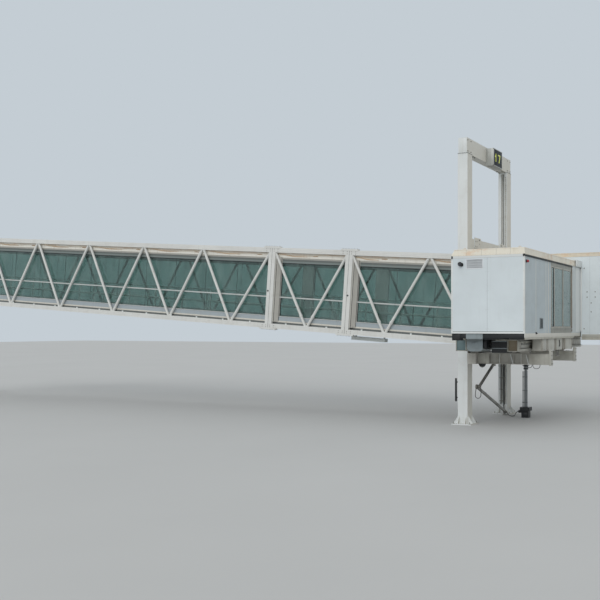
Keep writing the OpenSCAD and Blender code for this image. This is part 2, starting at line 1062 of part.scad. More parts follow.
module side_wall() {
  for (w = wall_runs, b = bands)
    block(w, [wall_in - b[2], wall_in + cut], [n0 + b[0], n0 + b[1]]);
  difference() {
    block([start_s, s_end], [wall_in, wall_in + wall_t],
      [n0 + n_sill, n0 + n_roof]);
    for (w = glass_runs)
      block(w, [wall_in - cut, wall_in + wall_t + cut],
        [n0 + n_glass0, n0 + n_glass1]);
  }
}

module near_side_wall() {
  color(pale_blue) sloped() side_wall();
}

module far_side_wall() {
  color(pale_blue) sloped() other_side() side_wall();
}

module tunnel_glass() {
  color(teal_glass)
    sloped()
      both_sides()
        for (w = glass_runs)
          block(w, [wall_in + glass_in, wall_in + glass_in + glass_t],
            [n0 + n_glass0, n0 + n_glass1]);
}

module handrails() {
  y = wall_in + wall_t + rail_off;
  color(teal_glass)
    sloped()
      both_sides() {
        for (n = [rail_n, rail_low_n])
          block([start_s + rail_end_in, s_end - rail_end_in],
            [y, y + rail_d], [n0 + n, n0 + n + rail_d]);
        for (s = [start_s + rail_end_in + rail_off : half_bay
            : s_end - rail_end_in - rail_off])
          block([s, s + rail_d], [y, y + rail_d],
            [n0 + n_floor, n0 + rail_n]);
      }
}

module cable_tray() {
  mid = (tray_y[0] + tray_y[1]) / 2;
  color(warm_grey)
    sloped() {
      block([s_f2, s_f2 + tray_s], tray_y, [n0 + tray_n[0], n0 + tray_n[1]]);
      for (s = [s_f2 + strap_in, s_f2 + tray_s - strap_in])
        block([s, s + tray_strap],
          [mid - tray_strap / 2, mid + tray_strap / 2],
          [n0 + tray_n[1], n0 + low_chord]);
    }
}

near_column();
far_column();
top_beam();
gate_sign();
trestle_posts();
trestle_beam();
mast_base();
mast_tube();
arm_foot();
hangers();
crosshead();
lift_beam();
walkway_rollers();
outrigger_beams();
carrier_rails();
rail_rack();
equipment_housing();
drive_box();
floor_boxes();
under_lamp();
mast_rod();
gallery_floor();
gallery_near_wall();
gallery_rear_wall();
gallery_front_wall();
gallery_roof();
gallery_glass();
gallery_louvre();
roof_gutter();
entry_seal();
cab_floor();
cab_near_wall();
cab_far_wall();
cab_rear_wall();
cab_glass();
cab_roof();
cab_front_frame();
cab_canopy();
near_truss();
far_truss();
tunnel_floor();
tunnel_roof();
near_side_wall();
far_side_wall();
tunnel_glass();
handrails();
cable_tray();
tunnel_hinge();
cable_arm_lower();
cable_arm_upper();
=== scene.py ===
"""Jet bridge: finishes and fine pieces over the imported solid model."""

import json
import logging
import math
from collections.abc import Iterable
from dataclasses import dataclass, field
from enum import Enum
from itertools import product
from typing import ClassVar

import bmesh
import bpy
from mathutils import Euler, Matrix, Vector

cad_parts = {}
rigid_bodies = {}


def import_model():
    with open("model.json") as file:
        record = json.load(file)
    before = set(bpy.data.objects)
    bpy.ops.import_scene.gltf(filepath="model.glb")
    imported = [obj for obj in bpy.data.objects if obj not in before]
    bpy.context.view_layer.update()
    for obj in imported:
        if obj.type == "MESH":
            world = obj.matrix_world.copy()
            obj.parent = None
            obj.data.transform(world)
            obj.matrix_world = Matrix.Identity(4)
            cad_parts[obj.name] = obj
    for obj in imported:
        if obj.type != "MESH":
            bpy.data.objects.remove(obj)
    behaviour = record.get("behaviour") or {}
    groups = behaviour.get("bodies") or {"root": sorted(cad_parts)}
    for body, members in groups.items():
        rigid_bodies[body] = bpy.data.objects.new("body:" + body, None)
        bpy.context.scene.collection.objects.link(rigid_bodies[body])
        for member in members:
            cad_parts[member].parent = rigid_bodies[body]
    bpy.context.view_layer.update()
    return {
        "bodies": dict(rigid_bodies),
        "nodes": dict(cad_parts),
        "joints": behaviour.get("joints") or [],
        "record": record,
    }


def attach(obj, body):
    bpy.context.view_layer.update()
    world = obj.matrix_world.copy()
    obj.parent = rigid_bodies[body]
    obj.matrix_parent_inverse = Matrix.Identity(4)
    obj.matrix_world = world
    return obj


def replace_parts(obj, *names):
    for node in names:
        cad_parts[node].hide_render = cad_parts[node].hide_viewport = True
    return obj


LOG = logging.getLogger("jet_bridge")
Point = tuple[float, float, float]
Colour = tuple[float, float, float]
Tone = tuple[int, int, int]
Row = tuple[float, ...]
Socket = bpy.types.NodeSocket
Material = bpy.types.Material
Piece = bpy.types.Object

PIN_X, PIN_Z = -27.2, 4.4649
SLOPE = math.radians(4.07)
SPAN = 4.7
MID = SPAN / 2
COLUMNS = (0.0, SPAN)
POSTS = (0.825, 3.875)
# The walkway's own frame: s along X, y across, n up from its upper hinge.
SLOPED = Matrix.Translation((PIN_X, 0.0, PIN_Z)) @ Matrix.Rotation(SLOPE, 4, "Y")

# Turns from upright, named by where the turned shape points.
UP, DOWN = (0.0, 0.0, 0.0), (math.pi, 0.0, 0.0)
TO_NEAR, TO_FAR = (math.pi / 2, 0.0, 0.0), (-math.pi / 2, 0.0, 0.0)
TO_FRONT, TO_REAR = (0.0, math.pi / 2, 0.0), (0.0, -math.pi / 2, 0.0)


class Body(Enum):
    """The moving bodies of the model."""

    PORTAL = "portal"
    LIFT = "lift_frame"
    CAB = "cab"
    WALKWAY = "walkway"
    ARM_LOW = "arm_lower"
    ARM_HIGH = "arm_upper"


class Slot(Enum):
    """The record's material slots."""

    CREAM = "cream_steel"
    PALE = "pale_panel"
    GREY = "grey_steel"
    BLACK = "black_box"
    METAL = "bare_metal"
    GLASS = "tinted_glass"
    RAIL = "rail_paint"
    SEAL = "seal_rubber"
    CANOPY = "canopy_fabric"


def srgb(red: int, green: int, blue: int) -> Colour:
    """Turns display values from 0 to 255 into linear colour.

    Args:
        red: the red value.
        green: the green value.
        blue: the blue value.

    Returns:
        The linear colour.
    """
    shares = (value / 255.0 for value in (red, green, blue))
    return tuple(c / 12.92 if c <= 0.04045 else ((c + 0.055) / 1.055) ** 2.4 for c in shares)


def shade(colour: Colour, share: float) -> Colour:
    """The same linear colour, darker."""
    return tuple(c * share for c in colour)


def far(point: Point) -> Point:
    """The same point at the far side of the walkway's middle plane."""
    return (point[0], SPAN - point[1], point[2])


def mirrored(points: list[Point]) -> list[Point]:
    """The points and their twins at the far side."""
    return points + [far(p) for p in points]


def steps(first: float, step: float, count: int) -> list[float]:
    """Evenly spaced values."""
    return [first + k * step for k in range(count)]


def grid(*axes: float | Iterable[float]) -> list[Point]:
    """Every point whose X, Y and Z are among the values given for them.

    Args:
        axes: for X, Y and Z one value or several.

    Returns:
        The points, X changing slowest.
    """
    return list(product(*([axis] if isinstance(axis, float) else axis for axis in axes)))


def around(x: float, y: float, half_x: float, half_y: float, low: float, high: float, soft: float = 0.0) -> Row:
    """The numbers of an upright block about a middle."""
    return (x - half_x, y - half_y, low, x + half_x, y + half_y, high, soft)


def rim(low: Point, high: Point, wide: float) -> list[Row]:
    """The numbers of four blocks that frame an upright rectangle.

    Args:
        low: the rectangle's low corner.
        high: its high corner, thinner in X or in Y.
        wide: the width of the frame's bars.

    Returns:
        The blocks' low and high corners.
    """
    (x0, y0, z0), (x1, y1, z1) = low, high
    level = [(x0, y0, z, x1, y1, z + wide) for z in (z0, z1 - wide)]
    if x1 - x0 < y1 - y0:
        return level + [(x0, y, z0, x1, y + wide, z1) for y in (y0, y1 - wide)]
    return level + [(x, y0, z0, x + wide, y1, z1) for x in (x0, x1 - wide)]


def new_object(name: str, data: bpy.types.ID) -> Piece:
    """Makes an object with its data and links it into the scene."""
    made = bpy.data.objects.new(name, data)
    bpy.context.scene.collection.objects.link(made)
    return made


def declare(name: str, data: bpy.types.Mesh, body: Body) -> Piece:
    """Makes a piece of a mesh and says what carries it.

    Args:
        name: the piece's name.
        data: its mesh.
        body: the body that carries it.

    Returns:
        The piece.
    """
    piece = new_object(name, data)
    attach(piece, body.value)
    LOG.info("%s: %d faces on %s", name, len(data.polygons), body.value)
    return piece


def coat_mesh(data: bpy.types.Mesh, finish: Material) -> None:
    """Puts one material in every slot of a mesh."""
    if not data.materials:
        data.materials.append(finish)
    for k in range(len(data.materials)):
        data.materials[k] = finish


def soften(data: bpy.types.Mesh, angle: float = 35.0) -> None:
    """Shades a mesh smoothly and keeps its sharp edges.

    Args:
        data: the mesh.
        angle: the turn in degrees over which an edge stays sharp.
    """
    shape = bmesh.new()
    shape.from_mesh(data)
    limit = math.radians(angle)
    for face in shape.faces:
        face.smooth = True
    for edge in shape.edges:
        edge.smooth = len(edge.link_faces) == 2 and edge.calc_face_angle(0.0) < limit
    shape.to_mesh(data)
    shape.free()


class Nodes:
    """Short calls for a node tree."""

    def __init__(self, tree: bpy.types.NodeTree) -> None:
        """Holds the tree, emptied."""
        self.tree = tree
        tree.nodes.clear()

    def node(self, kind: str, feeds: dict[str | int, object] | None = None, **values: object) -> bpy.types.Node:
        """Adds a node.

        Args:
            kind: the node's type.
            feeds: what its inputs get, as values or as sockets to link.
            values: its properties.

        Returns:
            The new node.
        """
        new = self.tree.nodes.new(kind)
        for key, value in values.items():
            setattr(new, key, value)
        for key, value in (feeds or {}).items():
            self.feed(new.inputs[key], value)
        return new

    def feed(self, socket: Socket, value: object) -> None:
        """Sets a socket to a value, or links it where the value is a socket.

        Args:
            socket: the input.
            value: what it gets.
        """
        if isinstance(value, Socket):
            self.tree.links.new(value, socket)
        else:
            socket.default_value = (*value, 1.0) if socket.type == "RGBA" else value

    def math(self, mode: str, a: object, b: object = 0.0, c: object = 0.0) -> Socket:
        """The result of one Math node."""
        return self.node("ShaderNodeMath", {0: a, 1: b, 2: c}, operation=mode).outputs[0]

    def mul(self, a: object, b: object) -> Socket:
        """One value times another."""
        return self.math("MULTIPLY", a, b)

    def add(self, a: object, b: object) -> Socket:
        """One value plus another."""
        return self.math("ADD", a, b)


class Graph(Nodes):
    """Short calls for a material's nodes."""

    def __init__(self, name: str) -> None:
        """Starts an empty material of that name with its output and shader."""
        self.material = bpy.data.materials.new(name)
        self.material.use_nodes = True
        super().__init__(self.material.node_tree)
        self.shader = self.node("ShaderNodeBsdfPrincipled")
        self.node("ShaderNodeOutputMaterial", {0: self.shader.outputs[0]})

    def place(self, sloped: bool) -> Socket:
        """Object coordinates, turned into the walkway's own frame if asked."""
        coords = self.node("ShaderNodeTexCoord").outputs["Object"]
        if not sloped:
            return coords
        turn = {0: coords, "Location": (PIN_X, 0.0, PIN_Z), "Rotation": (0.0, SLOPE, 0.0)}
        return self.node("ShaderNodeMapping", turn, vector_type="TEXTURE").outputs[0]

    def stretch(self, vector: Socket, scale: Point) -> Socket:
        """Scales coordinates, so that a pattern runs longer one way."""
        return self.node("ShaderNodeMapping", {0: vector, "Scale": scale}).outputs[0]

    def noise(self, vector: Socket, scale: float, detail: float = 3.0, rough: float = 0.55) -> Socket:
        """A noise value from 0 to 1."""
        feeds = {"Vector": vector, "Scale": scale, "Detail": detail, "Roughness": rough}
        return self.node("ShaderNodeTexNoise", feeds).outputs[0]

    def band(self, value: Socket, low: float, high: float) -> Socket:
        """A smooth step: 0 under low and 1 over high."""
        return self.node("ShaderNodeMapRange", {0: value, 1: low, 2: high}, interpolation_type="SMOOTHSTEP").outputs[0]

    def mix(self, amount: object, a: object, b: object) -> Socket:
        """Mixes two colours."""
        return self.node("ShaderNodeMix", {0: amount, 6: a, 7: b}, data_type="RGBA").outputs[2]

    def stain(self, tone: Socket, source: Socket, low: float, high: float, amount: float, colour: Colour) -> Socket:
        """Lays a colour over a tone where a value is high.

        Args:
            tone: the tone so far.
            source: the value.
            low: where the colour starts.
            high: where it is full.
            amount: how much of it covers the tone there.
            colour: the colour.

        Returns:
            The new tone.
        """
        return self.mix(self.mul(self.band(source, low, high), amount), tone, colour)

    def axis(self, vector: Socket, name: str) -> Socket:
        """One coordinate of a vector."""
        return self.node("ShaderNodeSeparateXYZ", {0: vector}).outputs[name]

    def normal(self, name: str) -> Socket:
        """One coordinate of the surface's direction."""
        return self.axis(self.node("ShaderNodeNewGeometry").outputs["Normal"], name)

    def surface(self, tone: Socket, rough: object, height: Socket, strength: float, distance: float,
                **values: object) -> None:
        """Feeds the shader and bumps its surface.

        Args:
            tone: the base colour.
            rough: the roughness.
            height: the bump's height value.
            strength: the bump's strength.
            distance: the bump's depth in metres.
            values: plain values of other inputs, spaces in their names as underlines.
        """
        bump = self.node("ShaderNodeBump", {"Height": height, "Strength": strength, "Distance": distance})
        feeds = {"Base Color": tone, "Roughness": rough, "Normal": bump.outputs[0]}
        feeds.update({key.replace("_", " "): value for key, value in values.items()})
        for key, value in feeds.items():
            self.feed(self.shader.inputs[key], value)


@dataclass(frozen=True)
class Seams:
    """Fine panel joints: lines across one axis at the given places."""

    axis: str
    at: tuple[float, ...]
    width: float = 0.008

    def mask(self, g: Graph, vector: Socket) -> Socket:
        """The joints' mask on one material's graph.

        Args:
            g: the material's graph.
            vector: the coordinates that the joints lie in.

        Returns:
            A value that is 1 in a joint and 0 elsewhere.
        """
        place = g.axis(vector, self.axis)
        total: Socket | float = 0.0
        for spot in self.at:
            off = g.math("ABSOLUTE", g.math("SUBTRACT", place, spot))
            total = g.math("MAXIMUM", total, g.math("LESS_THAN", off, self.width))
        return total


@dataclass(frozen=True)
class Coat:
    """What every finish has: a name, a colour and the frame of its pattern."""

    name: str
    colour: Tone
    sloped: bool = field(default=False, kw_only=True)

    def build(self) -> Material:
        """Makes the material.

        Returns:
            The node material.
        """
        g = Graph(self.name)
        self.lay(g, g.place(self.sloped), srgb(*self.colour))
        return g.material

    def lay(self, g: Graph, at: Socket, base: Colour) -> None:
        """Lays the nodes of the finish, which every kind does in its own way.

        Args:
            g: the material's graph.
            at: the pattern's coordinates.
            base: the linear colour.
        """
        raise NotImplementedError


@dataclass(frozen=True)
class Paint(Coat):
    """Weathered coat of paint: tone, run-down streaks, dust and grime, with painted shade on faces that point along X
    and on faces that point down.
    """

    dirt_and_underside_shade: Tone
    # side: a darker tone for faces that point along X, as painted shade.
    side: Tone | None = None
    streak: float = 0.25
    grime: float = 0.25
    rough: float = 0.45
    metal: float = 0.0
    rust: float = 0.0
    stain: float = 0.0
    seams: Seams | None = None
    grain: float = 0.15

    def lay(self, g: Graph, at: Socket, base: Colour) -> None:
        """Lays the paint, its weather and its painted shade."""
        dirt_and_underside_shade = srgb(*self.dirt_and_underside_shade)
        broad, cloud, fine = g.noise(at, 0.7), g.noise(at, 3.1, 5.0), g.noise(at, 60.0)
        runs = g.noise(g.stretch(at, (9.0, 9.0, 0.55)), 1.6, 5.0)
        up = g.normal("Z")
        tone = g.mix(g.band(broad, 0.3, 0.7), shade(base, 0.93), base)
        # Painted shade: faces that point along X take the side tone.
        if self.side is not None:
            tone = g.mix(g.band(g.math("ABSOLUTE", g.normal("X")), 0.4, 0.8), tone, srgb(*self.side))
        tone = g.stain(tone, runs, 0.52, 0.78, self.streak, dirt_and_underside_shade)
        tone = g.stain(tone, cloud, 0.45, 0.8, self.grime, dirt_and_underside_shade)
        # Painted shade: faces that point down get a darker tone of the dirt colour.
        tone = g.stain(tone, g.mul(up, -1.0), 0.5, 0.95, 0.45, shade(dirt_and_underside_shade, 0.55))
        flat = g.band(up, 0.5, 0.95)
        tone = g.mix(g.mul(flat, g.add(g.mul(g.band(cloud, 0.2, 0.8), 0.3), 0.12)), tone, dirt_and_underside_shade)
        if self.stain > 0.0:
            spots = g.noise(g.stretch(at, (1.2, 1.2, 2.6)), 1.3, 6.0, 0.7)
            shy = g.math("SUBTRACT", 1.0, g.mul(flat, 0.7))
            tone = g.mix(g.mul(g.mul(g.band(spots, 0.5, 0.72), self.stain), shy), tone, srgb(222, 170, 120))
        if self.rust > 0.0:
            spots = g.noise(at, 7.0, 8.0, 0.7)
            tone = g.stain(tone, spots, 0.66 - 0.1 * self.rust, 0.74, self.rust, srgb(112, 70, 44))
        height = g.add(g.mul(fine, 0.4), broad)
        if self.seams is not None:
            joint = self.seams.mask(g, at)
            tone = g.mix(g.mul(joint, 0.75), tone, shade(base, 0.35))
            height = g.math("SUBTRACT", height, g.mul(joint, 3.0))
        shine = g.add(g.mul(cloud, 0.25), self.rough - 0.1)
        g.surface(tone, shine, height, self.grain, 0.004, Metallic=self.metal)


@dataclass(frozen=True)
class WallZones(Coat):
    """The walkway wall's paint, which changes with height over the chord; two bands under the fascia are painted shade.
    """

    zones: tuple[tuple[float, Tone], ...]

    def lay(self, g: Graph, at: Socket, base: Colour) -> None:
        """Lays one tone under each height, then streaks, stains and dust."""
        n = g.axis(at, "Z")
        tone: object = base
        for limit, colour in reversed(self.zones):
            tone = g.mix(g.math("LESS_THAN", n, limit), tone, srgb(*colour))
        runs = g.noise(g.stretch(at, (7.0, 7.0, 0.5)), 1.6, 5.0)
        cloud = g.noise(at, 2.4, 5.0)
        tone = g.stain(tone, runs, 0.5, 0.8, 0.25, srgb(150, 140, 122))
        spots = g.noise(g.stretch(at, (0.8, 0.8, 6.0)), 1.2, 4.0)
        amount = g.mul(g.band(n, 3.08, 3.2), g.mul(g.band(spots, 0.4, 0.65), 0.55))
        tone = g.stain(g.mix(amount, tone, srgb(206, 158, 112)), cloud, 0.5, 0.8, 0.15, srgb(140, 138, 130))
        g.surface(tone, g.math("MULTIPLY_ADD", cloud, 0.25, 0.3), g.noise(at, 1.4, 2.0), 0.12, 0.01)


@dataclass(frozen=True)
class Glass(Coat):
    """Green-tinted sheet glass with a faint film of dust and water marks."""

    dust: float = 0.12

    def lay(self, g: Graph, at: Socket, base: Colour) -> None:
        """Lays the tint and the film."""
        film = g.noise(g.stretch(at, (2.0, 2.0, 0.7)), 1.1, 5.0)
        marks = g.noise(g.stretch(at, (14.0, 14.0, 0.8)), 1.2, 4.0)
        amount = g.add(g.mul(g.band(film, 0.4, 0.75), self.dust), g.mul(g.band(marks, 0.55, 0.8), self.dust * 0.6))
        clear = g.mul(g.math("SUBTRACT", 1.0, g.mul(amount, 1.4)), 0.94)
        g.surface(g.mix(amount, base, srgb(168, 190, 186)), g.add(g.mul(amount, 0.5), 0.02), film, 0.05, 0.004,
                  IOR=1.5, Transmission_Weight=clear)


@dataclass(frozen=True)
class BareMetal(Coat):
    """Brushed or ground metal with oil stains."""

    rough: float = 0.3
    brush: Point = (60.0, 60.0, 1.5)

    def lay(self, g: Graph, at: Socket, base: Colour) -> None:
        """Lays the brushed metal and its stains."""
        lines, oil = g.noise(g.stretch(at, self.brush), 2.0, 4.0), g.noise(at, 4.0, 5.0)
        tone = g.mix(g.band(lines, 0.3, 0.7), shade(base, 0.8), base)
        tone = g.stain(tone, oil, 0.55, 0.75, 0.5, srgb(70, 62, 52))
        g.surface(tone, g.add(g.mul(lines, 0.25), self.rough), lines, 0.15, 0.001, Metallic=0.85)


@dataclass(frozen=True)
class Rubber(Coat):
    """Black rubber or coated fabric with dust in its grain."""

    weave: float = 0.0

    def lay(self, g: Graph, at: Socket, base: Colour) -> None:
        """Lays the dusty rubber, woven where it is a fabric."""
        dust, height = g.noise(at, 2.2, 6.0), g.noise(at, 90.0)
        tone = g.stain(base, dust, 0.45, 0.75, 0.35, srgb(120, 116, 108))
        if self.weave > 0.0:
            turns = [g.mul(g.axis(at, name), 2.0 * math.pi / self.weave) for name in "YZ"]
            height = g.mul(*(g.math("MULTIPLY_ADD", g.math("SINE", turn), 0.5, 0.5) for turn in turns))
            tone = g.mix(g.mul(height, 0.25), tone, shade(base, 0.5))
        g.surface(tone, g.add(g.mul(dust, 0.25), 0.5), height, 0.25, 0.002)


@dataclass(frozen=True)
class Lamp(Coat):
    """A coloured lens or screen, lit by what falls on it and by a faint glow."""

    glow: float = 0.0

    def lay(self, g: Graph, at: Socket, base: Colour) -> None:
        """Lays the lens."""
        grain = g.noise(at, 40.0)
        g.surface(g.mix(grain, shade(base, 0.75), base), 0.25, grain, 0.1, 0.001, Coat_Weight=0.5,
                  Emission_Color=base, Emission_Strength=self.glow)


class Finishes:
    """Every finish of the bridge, made once."""

    def __init__(self) -> None:
        """Builds the materials."""
        # The third tone of a Paint, where given, is its side tone: painted shade for faces that point along X (cream,
        # cab panel, frame steel and bright trim).
        self.cream = Paint("cream paint", (226, 230, 230), (176, 168, 152), (214, 212, 203), 0.12, 0.14).build()
        self.truss = Paint("truss paint", (225, 226, 223), (176, 170, 158), None, 0.18, 0.22, rust=0.12,
                           sloped=True).build()
        self.walkway_roof = Paint("walkway roof", (196, 198, 194), (152, 148, 138), sloped=True).build()
        # Walkway wall bands from the floor up: foot strip, sill, the band behind the glass, the head band, a dark band
        # painted as the shadow under the fascia, the fascia's lower part darkened as painted shade, and the fascia's
        # near-white above.
        self.wall = WallZones("walkway wall", (240, 237, 228), (
            (0.521, (214, 211, 202)), (0.69, (166, 176, 182)), (2.82, (196, 200, 198)), (2.885, (126, 136, 134)),
            (2.965, (104, 110, 108)), (3.03, (186, 184, 176))), sloped=True).build()
        self.edge_seal = Paint("edge seal", (250, 242, 226), (226, 198, 160), None, 0.5, 0.5, sloped=True).build()
        self.run_off = Paint("run-off stain", (216, 186, 152), (176, 136, 100), None, 0.6, 0.6, sloped=True).build()
        self.roof = Paint("roof edge paint", (244, 238, 223), (200, 186, 160), None, 0.3, 0.3, stain=0.55,
                          seams=Seams("X", (0.92, 1.42, 1.9, 2.35), 0.004)).build()
        self.cab_roof = Paint("cab roof paint", (226, 216, 198), (186, 168, 140), None, 0.35, 0.4, stain=0.8).build()
        self.pale = Paint("pale panel", (219, 228, 232), (188, 194, 192), None, 0.12, 0.12, 0.35,
                          seams=Seams("X", (1.61,), 0.004), grain=0.06).build()
        self.cab_wall = Paint("cab panel", (224, 232, 235), (186, 190, 186), (196, 198, 194), 0.12, 0.14, 0.35,
                              seams=Seams("X", (0.72, 1.94, 3.16, 4.38), 0.003), grain=0.06).build()
        self.front = Paint("front panel", (190, 201, 205), (156, 158, 152), None, 0.12, 0.15, 0.38,
                           seams=Seams("Y", (-1.26, 0.01, 0.3), 0.005), grain=0.06).build()
        self.rear = Paint("rear panel", (206, 212, 212), (160, 158, 148), None, 0.25, 0.2, 0.4,
                          seams=Seams("Y", (-1.3, -0.1, 4.6), 0.004), grain=0.06).build()
        self.side_wall = Paint("walkway panel", (186, 196, 200), (152, 154, 148), None, 0.1, 0.2, sloped=True).build()
        self.louvre = Paint("louvre paint", (236, 240, 244), (176, 180, 178), None, 0.15, 0.15).build()
        self.slab = Paint("floor slab paint", (190, 188, 176), (120, 110, 94), None, 0.4, 0.45, rust=0.15).build()
        self.frame_steel = Paint("frame steel", (190, 188, 180), (112, 104, 92), (186, 184, 178), 0.4, 0.45,
                                 rust=0.25).build()
        self.rail_steel = Paint("rail steel", (206, 206, 198), (126, 108, 86), None, 0.5, 0.5, rust=0.5).build()
        self.deck = Paint("walkway deck", (112, 118, 118), (84, 82, 76), grime=0.5, rust=0.1, sloped=True).build()
        self.sheet = Paint("galvanised sheet", (150, 160, 163), (110, 112, 108), None, 0.3, 0.3, 0.35, 0.35).build()
        self.boxes = Paint("box paint", (192, 191, 182), (136, 128, 112), None, 0.35, 0.35, rust=0.1).build()
        self.black = Paint("black paint", (24, 27, 30), (64, 62, 56), None, 0.15, 0.22, 0.4).build()
        self.slate = Paint("sign face", (28, 33, 40), (60, 64, 66), None, 0.1, 0.1, 0.6).build()
        self.sign_case = Paint("sign case", (178, 180, 176), (128, 126, 118), None, 0.3, 0.2, 0.38, 0.2).build()
        self.white = Paint("bright trim", (226, 229, 228), (190, 190, 184), (222, 225, 224), 0.12, 0.12).build()
        # The reveal panels' grey-beige is partly painted shade: darker because the panels turn away from the light.
        self.reveal = Paint("reveal panel", (192, 190, 183), (144, 140, 130), None, 0.45, 0.2, sloped=True).build()
        self.arm = Paint("arm steel", (150, 149, 144), (70, 60, 48), None, 0.4, 0.5, 0.5, rust=0.55).build()
        self.sill = Paint("sill paint", (160, 161, 154), (120, 114, 102), None, 0.4, 0.3).build()
        self.vent = Paint("vent stain", (190, 162, 132), (150, 116, 84), None, 0.5, 0.5).build()
        self.board_blue = Paint("rear rail board", (112, 134, 137), (84, 92, 90), grime=0.3).build()
        self.board_brown = Paint("front rail board", (158, 146, 124), (110, 90, 68), None, 0.3, 0.4, rust=0.2).build()
        self.rail = Paint("rail paint", (236, 242, 240), (176, 184, 180), None, 0.1, 0.15, sloped=True).build()
        self.strap = Paint("strap brown", (122, 106, 88), (84, 70, 54), None, 0.3, 0.4, rust=0.4).build()
        self.chain = Paint("galvanised chain", (212, 211, 204), (140, 132, 118), None, 0.3, 0.3, 0.4, 0.15).build()
        self.gasket = Rubber("gasket black", (38, 44, 46)).build()
        self.rubber = Rubber("bumper rubber", (30, 31, 33)).build()
        self.fabric = Rubber("canopy fabric", (52, 56, 60), weave=0.012).build()
        self.walkway_glass = Glass("walkway glass", (156, 182, 176), sloped=True).build()
        self.pane = Glass("gallery glass", (188, 220, 218)).build()
        self.chrome = BareMetal("ground rod", (128, 131, 132), 0.2).build()
        self.steel = BareMetal("worn steel", (150, 148, 142), 0.4).build()
        self.bolt = BareMetal("bolt zinc", (168, 166, 158), 0.4, (40.0, 40.0, 40.0)).build()
        self.digits = Lamp("sign digits", (214, 222, 66), 0.25).build()
        self.red_lens = Lamp("red lens", (168, 36, 44)).build()
        self.dark_lens = Lamp("dark lens", (20, 24, 44)).build()
        self.white_lens = Lamp("lamp glass", (206, 208, 204)).build()


